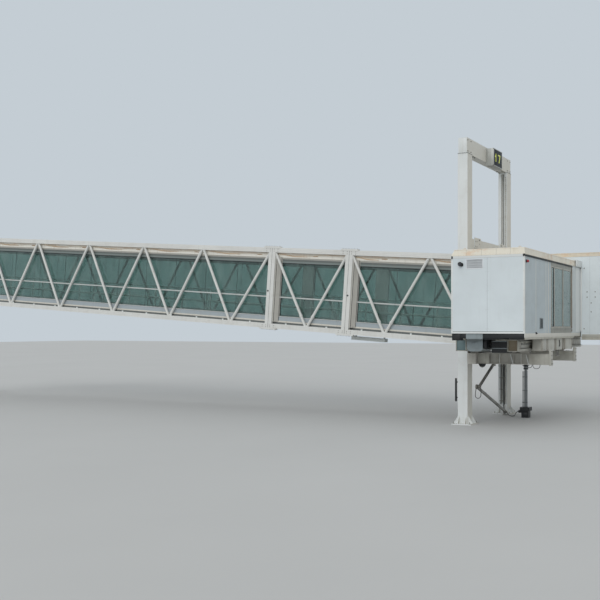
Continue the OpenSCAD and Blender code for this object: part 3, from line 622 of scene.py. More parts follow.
class Maker:
    """Gathers plain shapes into one mesh and turns it into a piece."""

    def __init__(self, body: Body, place: Matrix | None = None) -> None:
        """Starts an empty mesh for a body, placed by the matrix where one is given."""
        self.mesh = bmesh.new()
        self.body = body
        self.place = place or Matrix.Identity(4)

    def box(self, x0: float, y0: float, z0: float, x1: float, y1: float, z1: float, soft: float = 0.0) -> "Maker":
        """A block between two corners, its edges softened by a bevel.

        Args:
            x0: the low corner's X.
            y0: its Y.
            z0: its Z.
            x1: the high corner's X.
            y1: its Y.
            z1: its Z.
            soft: the bevel's width.

        Returns:
            The maker itself.
        """
        low, high = (x0, y0, z0), (x1, y1, z1)
        size = [b - a for a, b in zip(low, high)]
        made = bmesh.ops.create_cube(self.mesh, size=1.0)["verts"]
        for vert in made:
            vert.co = Vector([c * s + (a + b) / 2 for c, s, a, b in zip(vert.co, size, low, high)])
        if soft > 0.0:
            edges = list({edge for vert in made for edge in vert.link_edges})
            bmesh.ops.bevel(self.mesh, geom=edges, offset=min(soft, min(size) * 0.3), segments=2,
                            profile=0.5, affect="EDGES")
        return self

    def boxes(self, rows: Iterable[Row], soft: float = 0.0) -> "Maker":
        """Several blocks.

        Args:
            rows: for each its two corners, then its own bevel if it has one.
            soft: the bevel of the others.

        Returns:
            The maker itself.
        """
        for row in rows:
            self.box(*row[:6], soft=row[6] if len(row) > 6 else soft)
        return self

    def both(self, x0: float, y0: float, z0: float, x1: float, y1: float, z1: float, soft: float = 0.0) -> "Maker":
        """The same block at both sides of the walkway's middle plane."""
        return self.box(x0, y0, z0, x1, y1, z1, soft).box(x0, SPAN - y1, z0, x1, SPAN - y0, z1, soft)

    def rod(self, start: Point, end: Point, radius: float, sides: int = 16, top: float | None = None) -> "Maker":
        """A round bar or a cone between two points.

        Args:
            start: the middle of its foot.
            end: the middle of its top.
            radius: its radius.
            sides: its count of sides.
            top: the radius at its top, where it differs.

        Returns:
            The maker itself.
        """
        a, b = Vector(start), Vector(end)
        turn = (b - a).to_track_quat("Z", "Y").to_matrix().to_4x4()
        bmesh.ops.create_cone(self.mesh, cap_ends=True, segments=sides, radius1=radius,
                              radius2=radius if top is None else top, depth=(b - a).length,
                              matrix=Matrix.Translation((a + b) / 2) @ turn)
        return self

    def ring(self, middle: Point, radius: float, thick: float, sides: int = 24,
             axis: Point = (0.0, 0.0, 1.0)) -> "Maker":
        """A round ring of round section about an axis.

        Args:
            middle: its middle.
            radius: its radius.
            thick: its section's radius.
            sides: its count of sides.
            axis: the axis.

        Returns:
            The maker itself.
        """
        turn = Vector(axis).to_track_quat("Z", "Y")
        angles = [k * math.tau / sides for k in range(sides)]
        points = [Vector(middle) + turn @ Vector((math.cos(a) * radius, math.sin(a) * radius, 0.0)) for a in angles]
        return self.tube(points, thick, 8, closed=True)

    def dome(self, middle: Point, radius: float, squeeze: Point = (1.0, 1.0, 1.0)) -> "Maker":
        """A rounded knob, squeezed along its axes."""
        shape = Matrix.Translation(middle) @ Matrix.Diagonal((*squeeze, 1.0))
        bmesh.ops.create_uvsphere(self.mesh, u_segments=20, v_segments=12, radius=radius, matrix=shape)
        return self

    def tube(self, path: list[Point], radius: float, sides: int = 10, closed: bool = False) -> "Maker":
        """A round tube along a path of points.

        Args:
            path: the points.
            radius: the tube's radius.
            sides: its count of sides.
            closed: whether the path runs back to its start.

        Returns:
            The maker itself.
        """
        points = [Vector(p) for p in path]
        count = len(points)
        rows, normal = [], None
        for i, point in enumerate(points):
            before = points[i - 1] if i or closed else point
            after = points[(i + 1) % count] if i < count - 1 or closed else point
            way = (after - before).normalized()
            if normal is None:
                normal = way.orthogonal().normalized()
            normal = (normal - way * normal.dot(way)).normalized()
            side = way.cross(normal)
            rows.append([point + normal * math.cos(a) * radius + side * math.sin(a) * radius
                         for a in (k * math.tau / sides for k in range(sides))])
        return self.loft(rows, joined=closed, caps=not closed)

    def loft(self, rows: list[list[Point]], closed: bool = True, caps: bool = True, joined: bool = False) -> "Maker":
        """A skin over rows of points that all have the same count.

        Args:
            rows: the rows.
            closed: whether each row runs round.
            caps: whether the first and the last row are filled.
            joined: whether the last row is joined to the first.

        Returns:
            The maker itself.
        """
        made = [[self.mesh.verts.new(Vector(p)) for p in row] for row in rows]
        count = len(rows[0])
        for one, two in zip(made, made[1:] + made[:1] if joined else made[1:]):
            for k in range(count if closed else count - 1):
                m = (k + 1) % count
                self.mesh.faces.new((one[k], one[m], two[m], two[k]))
        if caps:
            self.mesh.faces.new(list(reversed(made[0])))
            self.mesh.faces.new(made[-1])
        return self

    def loft_both(self, rows: list[list[Point]]) -> "Maker":
        """The same skin at both sides of the walkway's middle plane."""
        return self.loft(rows).loft([[far(p) for p in row] for row in rows])

    def prism(self, axis: str, low: float, high: float, outline: list[tuple[float, float]]) -> "Maker":
        """A plate of one outline between two places on an axis.

        Args:
            axis: X or Y.
            low: where the plate starts.
            high: where it ends.
            outline: its corners in the two other coordinates.

        Returns:
            The maker itself.
        """
        spot = "XY".index(axis)
        return self.loft([[(*p[:spot], at, *p[spot:]) for p in outline] for at in (low, high)])

    def piece(self, name: str, finish: Material, slot: Slot, smooth: bool = True) -> Piece:
        """Turns the gathered shapes into a piece that rides on the body.

        Args:
            name: the piece's name.
            finish: its material.
            slot: not used.
            smooth: whether curved faces shade smoothly.

        Returns:
            The new piece.
        """
        bmesh.ops.transform(self.mesh, matrix=self.place, verts=self.mesh.verts)
        bmesh.ops.recalc_face_normals(self.mesh, faces=self.mesh.faces)
        data = bpy.data.meshes.new(name)
        self.mesh.to_mesh(data)
        self.mesh.free()
        coat_mesh(data, finish)
        if smooth:
            soften(data)
        return declare(name, data, self.body)


class Tree(Nodes):
    """A Geometry Nodes tree with named inputs, for shapes that repeat."""

    def __init__(self, name: str, sizes: dict[str, float | Point]) -> None:
        """Starts the tree with its inputs.

        Args:
            name: the tree's name.
            sizes: its inputs' names and first values.
        """
        super().__init__(bpy.data.node_groups.new(name, "GeometryNodeTree"))
        face = self.tree.interface
        for way in ("INPUT", "OUTPUT"):
            face.new_socket("Geometry", in_out=way, socket_type="NodeSocketGeometry")
        self.keys = {}
        for label, value in sizes.items():
            kind = "NodeSocketFloat" if isinstance(value, float) else "NodeSocketVector"
            socket = face.new_socket(label, in_out="INPUT", socket_type=kind)
            socket.default_value = value
            self.keys[label] = socket.identifier
        self.source = self.node("NodeGroupInput").outputs

    def moved(self, geometry: Socket, **where: Socket) -> Socket:
        """The geometry, moved by the given coordinates."""
        by = self.node("ShaderNodeCombineXYZ", where).outputs[0]
        return self.node("GeometryNodeTransform", {"Geometry": geometry, "Translation": by}).outputs[0]

    def drum(self, sides: int, radius: str, height: str, lift: Socket | float = 0.0) -> Socket:
        """A prism that stands on the point.

        Args:
            sides: its count of sides.
            radius: the input that gives its radius.
            height: the input that gives its height.
            lift: how far over the point it starts.

        Returns:
            The prism.
        """
        tall = self.source[height]
        shape = self.node("GeometryNodeMeshCylinder", {"Vertices": sides, "Radius": self.source[radius], "Depth": tall},
                          fill_type="NGON")
        return self.moved(shape.outputs["Mesh"], Z=self.math("MULTIPLY_ADD", tall, 0.5, lift))

    def join(self, shapes: list[Socket]) -> Socket:
        """Several shapes as one."""
        joined = self.node("GeometryNodeJoinGeometry")
        for shape in shapes:
            self.feed(joined.inputs[0], shape)
        return joined.outputs[0]

    def close(self, shape: Socket, finish: Material) -> "Tree":
        """Puts the shape on every point and ends in Realize Instances and Set Material.

        Args:
            shape: the shape, turned as each point says.
            finish: its material.

        Returns:
            The tree itself.
        """
        turn = self.node("GeometryNodeInputNamedAttribute", {"Name": "turn"}, data_type="FLOAT_VECTOR")
        euler = self.node("FunctionNodeEulerToRotation", {0: turn.outputs[0]})
        on = self.node("GeometryNodeInstanceOnPoints", {"Points": self.source["Geometry"], "Instance": shape,
                                                        "Rotation": euler.outputs[0]})
        real = self.node("GeometryNodeRealizeInstances", {0: on.outputs[0]})
        coat = self.node("GeometryNodeSetMaterial", {"Material": finish, 0: real.outputs[0]})
        self.node("NodeGroupOutput", {0: coat.outputs[0]})
        return self

    def run(self, name: str, points: list[Point], sizes: dict[str, object], finish: Material, body: Body,
            slot: Slot, turns: list[Point], place: Matrix | None) -> Piece:
        """Runs the tree over points and keeps the result as a plain mesh.

        Args:
            name: the piece's name.
            points: where the shapes stand.
            sizes: values for the tree's inputs, by name.
            finish: the piece's material.
            body: the body that carries it.
            slot: not used.
            turns: a turn about X, Y and Z for each point.
            place: the frame in which points and turns are given.

        Returns:
            The new piece.
        """
        matrix = place or Matrix.Identity(4)
        turn = matrix.to_quaternion()
        seed = bpy.data.meshes.new(name + " points")
        seed.from_pydata([matrix @ Vector(p) for p in points], [], [])
        turned = seed.attributes.new("turn", "FLOAT_VECTOR", "POINT")
        for i, value in enumerate(turns):
            turned.data[i].vector = tuple((turn @ Euler(value).to_quaternion()).to_euler())
        holder = new_object(name + " points", seed)
        modifier = holder.modifiers.new("repeat", "NODES")
        modifier.node_group = self.tree
        for label, value in sizes.items():
            modifier[self.keys[label]] = value
        graph = bpy.context.evaluated_depsgraph_get()
        data = bpy.data.meshes.new_from_object(holder.evaluated_get(graph), depsgraph=graph)
        holder.modifiers.remove(modifier)
        bpy.data.objects.remove(holder)
        for layer in [a for a in data.attributes if a.name == "turn"]:
            data.attributes.remove(layer)
        data.name = name
        coat_mesh(data, finish)
        soften(data)
        return declare(name, data, body)


class Repeats:
    """The trees for bolts, bars, round heads and chain links."""

    def __init__(self, finishes: Finishes) -> None:
        """Builds the trees.

        Args:
            finishes: the finishes that the trees end in.
        """
        tree = Tree("hex bolts", {"Head Radius": 0.02, "Head Height": 0.016, "Washer Radius": 0.03,
                                  "Washer Height": 0.004, "Stud Radius": 0.01, "Stud Height": 0.03})
        shapes = [tree.drum(16, "Washer Radius", "Washer Height"),
                  tree.drum(6, "Head Radius", "Head Height", tree.source["Washer Height"]),
                  tree.drum(12, "Stud Radius", "Stud Height")]
        self.bolts = tree.close(tree.join(shapes), finishes.bolt)
        tree = Tree("bars", {"Size": (0.1, 0.1, 0.1)})
        block = tree.node("GeometryNodeMeshCube", {"Size": tree.source["Size"]})
        self.bars = tree.close(block.outputs["Mesh"], finishes.cream)
        tree = Tree("round heads", {"Radius": 0.01, "Height": 0.004})
        self.knobs = tree.close(tree.drum(12, "Radius", "Height"), finishes.bolt)
        self.links = self.link_tree(finishes.chain)

    @staticmethod
    def link_tree(finish: Material) -> Tree:
        """One chain link along Z: two side plates, a roller and its pin.

        Args:
            finish: the links' material.

        Returns:
            The finished tree.
        """
        tree = Tree("chain links", {"Pitch": 0.05, "Width": 0.03})
        pitch, width, shapes = tree.source["Pitch"], tree.source["Width"], []
        for side in (-0.5, 0.5):
            size = tree.node("ShaderNodeCombineXYZ",
                             {"X": 0.005, "Y": tree.mul(pitch, 0.5), "Z": tree.mul(pitch, 0.86)})
            plate = tree.node("GeometryNodeMeshCube", {"Size": size.outputs[0]})
            shapes.append(tree.moved(plate.outputs["Mesh"], X=tree.mul(width, side)))
        pin = tree.node("GeometryNodeMeshCylinder", {"Vertices": 10, "Radius": tree.mul(pitch, 0.2), "Depth": width},
                        fill_type="NGON")
        lie = tree.node("GeometryNodeTransform", {"Geometry": pin.outputs["Mesh"], "Rotation": TO_FRONT})
        return tree.close(tree.join(shapes + [lie.outputs[0]]), finish)


class Stage:
    """The camera, the plain floor and the soft light."""

    def __init__(self) -> None:
        """Makes them all."""
        self.camera()
        self.floor()
        self.sky()
        self.lamps()

    def camera(self) -> None:
        """The photograph's view: level, from the apron in front of the gallery."""
        data = bpy.data.cameras.new("view")
        data.lens, data.sensor_width, data.shift_y, data.clip_end = 56.4, 36.0, 28.0 / 600.0, 400.0
        camera = new_object("view", data)
        camera.location = (10.76, -31.35, 3.33)
        camera.rotation_euler = (math.radians(90.0), 0.0, math.radians(28.9))
        bpy.context.scene.camera = camera

    def floor(self) -> None:
        """A wide pale floor that keeps the object's shadow."""
        data, wide = bpy.data.meshes.new("floor"), 160.0
        data.from_pydata([(-wide, -wide, 0.0), (wide, -wide, 0.0), (wide, wide, 0.0), (-wide, wide, 0.0)], [],
                         [(0, 1, 2, 3)])
        floor = new_object("floor", data)
        g = Graph("floor pale")
        tone = g.mix(g.noise(g.place(False), 0.15, 4.0), srgb(196, 197, 196), srgb(204, 205, 204))
        g.feed(g.shader.inputs["Base Color"], tone)
        g.feed(g.shader.inputs["Roughness"], 0.9)
        data.materials.append(g.material)

    def sky(self) -> None:
        """An even pale sky, with a plain background where it is seen."""
        world = bpy.data.worlds.new("sky")
        bpy.context.scene.world = world
        world.use_nodes = True
        sky = Nodes(world.node_tree)
        rays = sky.node("ShaderNodeLightPath").outputs
        direct = sky.math("MAXIMUM", rays["Is Camera Ray"], rays["Is Transmission Ray"])
        seen = sky.math("MAXIMUM", direct, rays["Is Glossy Ray"])
        light = sky.node("ShaderNodeBackground", {0: (0.95, 0.98, 1.0), 1: 0.66})
        plain = sky.node("ShaderNodeBackground", {0: srgb(196, 205, 212), 1: 1.0})
        both = sky.node("ShaderNodeMixShader", {0: seen, 1: light.outputs[0], 2: plain.outputs[0]})
        sky.node("ShaderNodeOutputWorld", {0: both.outputs[0]})

    def lamps(self) -> None:
        """A soft sun from the viewer's left and a faint glow in the walkway."""
        sun = bpy.data.lights.new("sun", "SUN")
        sun.energy, sun.angle, sun.color = 0.85, math.radians(40.0), (1.0, 0.985, 0.96)
        lamp = new_object("sun", sun)
        lamp.rotation_euler = Vector((-0.06, 0.95, -0.55)).to_track_quat("-Z", "Y").to_euler()
        glow = bpy.data.lights.new("ceiling glow", "AREA")
        glow.shape, glow.size, glow.size_y, glow.energy = "RECTANGLE", 26.0, 1.0, 150.0
        lamp = new_object("ceiling glow", glow)
        lamp.matrix_world = SLOPED @ Matrix.Translation((13.6, MID, 3.15))
        lamp.visible_camera = lamp.visible_glossy = lamp.visible_transmission = False


@dataclass
class Part:
    """What every sub-assembly holds: the frame, the finishes and the repeats."""

    frame: dict
    finish: Finishes
    repeats: Repeats
    body: ClassVar[Body] = Body.LIFT
    place: ClassVar[Matrix | None] = None

    def dress(self, finish: Material, *nodes: str) -> None:
        """Gives CAD nodes a finish."""
        for name in nodes:
            coat_mesh(self.frame["nodes"][name].data, finish)

    def make(self) -> Maker:
        """A maker for this part's body and frame."""
        return Maker(self.body, self.place)

    def blocks(self, name: str, finish: Material, slot: Slot, rows: Iterable[Row], soft: float = 0.0,
               smooth: bool = True) -> Piece:
        """A piece of plain blocks.

        Args:
            name: the piece's name.
            finish: its material.
            slot: not used.
            rows: for each block its two corners, then its own bevel if it has one.
            soft: the bevel of the others.
            smooth: whether curved faces shade smoothly.

        Returns:
            The blocks as one piece.
        """
        return self.make().boxes(rows, soft).piece(name, finish, slot, smooth)

    def repeat(self, tree: Tree, name: str, points: list[Point], sizes: dict[str, object], finish: Material,
               slot: Slot, turn: Point | list[Point] = UP, body: Body | None = None) -> Piece:
        """Repeats a tree's shape over points.

        Args:
            tree: the tree.
            name: the piece's name.
            points: where the shapes stand.
            sizes: values for the tree's inputs.
            finish: their material.
            slot: not used.
            turn: one turn for all, or a list with one for each.
            body: the body that carries them, where it isn't the part's own.

        Returns:
            The shapes as one piece.
        """
        turns = turn if isinstance(turn, list) else [turn] * len(points)
        return tree.run(name, points, sizes, finish, body or self.body, slot, turns, self.place)

    def bolts(self, name: str, points: list[Point], head: float, slot: Slot = Slot.METAL, turn: Point = UP,
              stud: float = 1.6) -> Piece:
        """A set of hexagon bolts of one size that all point one way.

        Args:
            name: the piece's name.
            points: where the washers sit.
            head: radius of the heads.
            slot: not used.
            turn: the turn from upright.
            stud: the stud's height over the head's radius.

        Returns:
            The bolts as one piece.
        """
        sizes = {"Head Radius": head, "Head Height": head * 0.75, "Washer Radius": head * 1.45,
                 "Washer Height": head * 0.2, "Stud Radius": head * 0.5, "Stud Height": head * stud}
        return self.repeat(self.repeats.bolts, name, points, sizes, self.finish.bolt, slot, turn)

    def bars(self, name: str, points: list[Point], size: Point, finish: Material, slot: Slot, turn: Point = UP,
             body: Body | None = None) -> Piece:
        """A row of equal bars, given by their middles and their size."""
        return self.repeat(self.repeats.bars, name, points, {"Size": size}, finish, slot, turn, body)

    def knobs(self, name: str, points: list[Point], radius: float, height: float, finish: Material, slot: Slot,
              turn: Point | list[Point] = UP) -> Piece:
        """A set of flat round heads, given by where they sit and their size."""
        sizes = {"Radius": radius, "Height": height}
        return self.repeat(self.repeats.knobs, name, points, sizes, finish, slot, turn)


@dataclass
class Portal(Part):
    """Columns, top beam, gate sign, trestle and mast foot."""

    column_x: float = 0.175
    column_y: float = 0.25
    top: float = 9.36
    beam_half: float = 0.155
    slot_x: float = 0.031
    chain_x: float = 0.118
    chain_pitch: float = 0.076
    body: ClassVar[Body] = Body.PORTAL

    def build(self) -> None:
        """Dresses the nodes and adds the fine pieces."""
        f = self.finish
        self.dress(f.cream, "near_column", "far_column", "top_beam", "trestle_posts", "trestle_beam")
        self.dress(f.black, "mast_base")
        self.dress(f.chrome, "mast_tube")
        self.dress(f.arm, "arm_foot")
        self.anchors()
        self.beam_joint()
        self.guides()
        self.sign()
        self.mast()
        self.trestle()

    def anchors(self) -> None:
        """Anchor nuts on every base plate, and weld beads round the posts."""
        spots, beads = [], self.make()
        posts = [(0.0, y, 0.285, 0.36, self.column_x, self.column_y) for y in COLUMNS]
        posts += [(PIN_X, y, 0.26, 0.31, 0.15, 0.2) for y in POSTS]
        for x, y, plate_x, plate_y, a, b in posts:
            spots += grid((x - plate_x, x + plate_x), (y - plate_y, y + plate_y), 0.03)
            loop = [(x - a, y - b, 0.032), (x + a, y - b, 0.032), (x + a, y + b, 0.032), (x - a, y + b, 0.032)]
            for start, end in zip(loop, loop[1:] + loop[:1]):
                beads.rod(start, end, 0.009, 8)
        self.bolts("anchor_nuts", spots, 0.024, stud=2.8)
        beads.piece("column_weld_beads", self.finish.cream, Slot.CREAM)

    def beam_joint(self) -> None:
        """The joint between columns and top beam, hanger bolts and end caps."""
        f, a, b, top = self.finish, self.column_x, self.column_y, self.top
        self.blocks("column_head_plates", f.cream, Slot.CREAM,
                    [around(0.0, y, a + 0.006, b + 0.006, top - 0.022, top - 0.002, 0.004) for y in COLUMNS])
        self.blocks("column_head_gaskets", f.gasket, Slot.SEAL,
                    [around(0.0, y, a + 0.002, b + 0.002, top - 0.003, top + 0.013) for y in COLUMNS])
        sides = (-0.17, 0.17, SPAN - 0.17, SPAN + 0.17)
        self.bolts("beam_side_bolts", grid(self.beam_half, sides, (9.44, 9.82)), 0.016, turn=TO_FRONT)
        hangers = (0.36, 0.54, 0.72, 3.98, 4.16, 4.34)
        self.bolts("beam_hanger_bolts", grid((-0.1, 0.1), hangers, top), 0.022, turn=DOWN, stud=2.2)
        lids = [around(0.0, y, 0.13, 0.26, 9.899, 9.9) for y in (0.62, 2.35, 4.08)]
        lids += [(-0.135, y, 9.38, 0.135, y + 0.004, 9.88, 0.002) for y in (-0.254, SPAN + 0.25)]
        self.blocks("beam_end_caps", f.cream, Slot.CREAM, lids)

    def guides(self) -> None:
        """Lift chains, slot strips and linings, conduits and the guard strip."""
        f, y, half = self.finish, self.column_y, self.slot_x
        rise = steps(0.42, self.chain_pitch, int((9.3 - 0.42) / self.chain_pitch))
        spots = grid((self.chain_x,), (y + 0.027, SPAN - y - 0.027), rise)
        turns = [(0.0, 0.0, 0.25 * math.sin(k * 1.9)) for k in range(len(spots))]
        self.repeat(self.repeats.links, "lift_chains", spots, {"Pitch": self.chain_pitch, "Width": 0.03}, f.chain,
                    Slot.BLACK, turns)
        strips = self.make()
        for x in (-half - 0.014, half + 0.014):
            strips.both(x - 0.009, y, 0.4, x + 0.009, y + 0.004, 9.3)
        strips.piece("slot_wear_strips", f.steel, Slot.METAL)
        lining = self.make().both(-half + 0.001, 0.1905, 0.402, half - 0.001, 0.1925, 9.298)
        lining.piece("slot_linings", f.white, Slot.GREY)
        dark = self.make().both(0.0, 0.1915, 0.402, half - 0.001, 0.1935, 9.298)
        dark.piece("slot_guide_strips", f.gasket, Slot.SEAL, smooth=False)
        pipes = self.make()
        for x, r in ((-0.07, 0.014), (0.045, 0.016), (0.075, 0.01)):
            wall = SPAN - y - r
            pipes.tube([(x, wall, 0.36), (x, wall, 1.2), (x + 0.004, wall - 0.002, 1.9), (x, wall, 2.02)], r)
        pipes.tube([(0.045, 4.43, 0.36), (0.06, 4.4, 0.2), (0.12, 4.32, 0.1), (0.17, 4.2, 0.06), (0.19, 4.1, 0.03)],
                   0.016)
        pipes.piece("column_conduits", f.black, Slot.BLACK)
        clips = grid(0.0, SPAN - y - 0.02, (0.5, 0.95, 1.4, 1.85))
        self.bars("conduit_clips", clips, (0.24, 0.05, 0.03), f.steel, Slot.METAL)
        self.blocks("column_guard_strip", f.black, Slot.BLACK, (
            (-0.285, -0.23, 0.79, -0.228, -0.17, 1.59, 0.006), (-0.23, -0.22, 0.9, -0.174, -0.174, 0.94),
            (-0.23, -0.22, 1.44, -0.174, -0.174, 1.48)))

    def sign(self) -> None:
        """The gate sign: a sheet-metal case, its face, bezel and number."""
        f, x0, x1, y0, y1, z0, z1 = self.finish, 0.155, 0.44, 1.88, 2.9, 9.23, 9.86
        case = self.make().box(x0, y0, z0, x1 - 0.02, y1, z1, 0.008)
        case.boxes([around(x, y, 0.012, 0.005, z0 + 0.01, z1 - 0.01)[:6]
                    for y in (y0 - 0.001, y1 + 0.001) for x in (0.235, 0.33)], 0.003)
        case.boxes(rim((x1 - 0.026, y0, z0), (x1 + 0.004, y1, z1), 0.028), 0.004)
        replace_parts(case.piece("sign_case", f.sign_case, Slot.BLACK), "gate_sign")
        self.blocks("sign_face", f.slate, Slot.BLACK,
                    [(x1 - 0.022, y0 + 0.02, z0 + 0.02, x1 - 0.004, y1 - 0.02, z1 - 0.02)], 0.002)
        w, low, high, back, face = 0.044, z0 + 0.165, z1 - 0.165, x1 - 0.006, x1 + 0.006
        number = self.make().box(back, 2.125, low, face, 2.125 + w, high, 0.004)
        number.prism("X", back, face, [(2.045, high - 0.11), (2.125, high - 0.04), (2.15, high), (2.15, high - 0.08),
                                       (2.06, high - 0.15)])
        number.box(back, 2.41, high - w, face, 2.655, high, 0.004)
        number.prism("X", back, face - 0.0005, [(2.655, high - w), (2.655, high - 0.02), (2.6, high - w + 0.01),
                                                (2.49, low), (2.55, low)])
        number.piece("sign_number", f.digits, Slot.BLACK, smooth=False)
        self.blocks("sign_brackets", f.sheet, Slot.GREY,
                    [(0.1, y - 0.02, 9.86, x, y + 0.02, z) for y in (2.05, 2.73)
                     for x, z in ((0.36, 9.875), (0.12, 9.905))], 0.003)
        screws = grid(x1 + 0.004, (1.9, 2.39, 2.88), (z0 + 0.014, z1 - 0.014))
        self.bolts("sign_screws", screws, 0.006, turn=TO_FRONT, stud=0.9)

    def mast(self) -> None:
        """Lid, latches and glands of the mast's base, and its tube's clips."""
        f, x, y = self.finish, 1.215, 3.33
        lid = self.make().ring((x, y, 0.392), 0.075, 0.01)
        lid.boxes([around(x, y, 0.186, 0.186, 0.262, 0.276, 0.004)])
        for side in (x - 0.09, x + 0.09):
            lid.box(side - 0.018, y - 0.19, 0.22, side + 0.018, y - 0.133, 0.34, 0.004)
        lid.box(x - 0.09, y - 0.141, 0.05, x + 0.09, y - 0.133, 0.19, 0.003)
        lid.piece("mast_box_fittings", f.black, Slot.BLACK)
        clips = self.make()
        for z in (0.55, 1.0, 1.5):
            clips.box(x - 0.13, y - 0.02, z, x - 0.05, y + 0.02, z + 0.02, 0.004)
            clips.ring((x, y, z + 0.01), 0.064, 0.006).ring((x - 0.105, y, z + 0.01), 0.02, 0.005, 16)
        clips.piece("mast_tube_clips", f.black, Slot.BLACK)
        self.bolts("mast_box_bolts", grid((x - 0.155, x + 0.155), (y - 0.155, y + 0.155), 0.39), 0.01)
        self.bolts("arm_foot_bolts", grid(0.3, (3.87, 4.03), 0.02), 0.012)

    def trestle(self) -> None:
        """Pin heads and plate bolts of the trestle at the terminal end."""
        pins, spots = self.make(), []
        for y in POSTS:
            for side in (-1, 1):
                pins.rod((PIN_X, y + side * 0.072, PIN_Z), (PIN_X, y + side * 0.084, PIN_Z), 0.05, 24)
            spots += grid((PIN_X - 0.11, PIN_X + 0.11), (y - 0.2, y + 0.2), 4.3)
        pins.piece("hinge_pin_keepers", self.finish.steel, Slot.METAL)
        self.bolts("trestle_bolts", spots, 0.018)


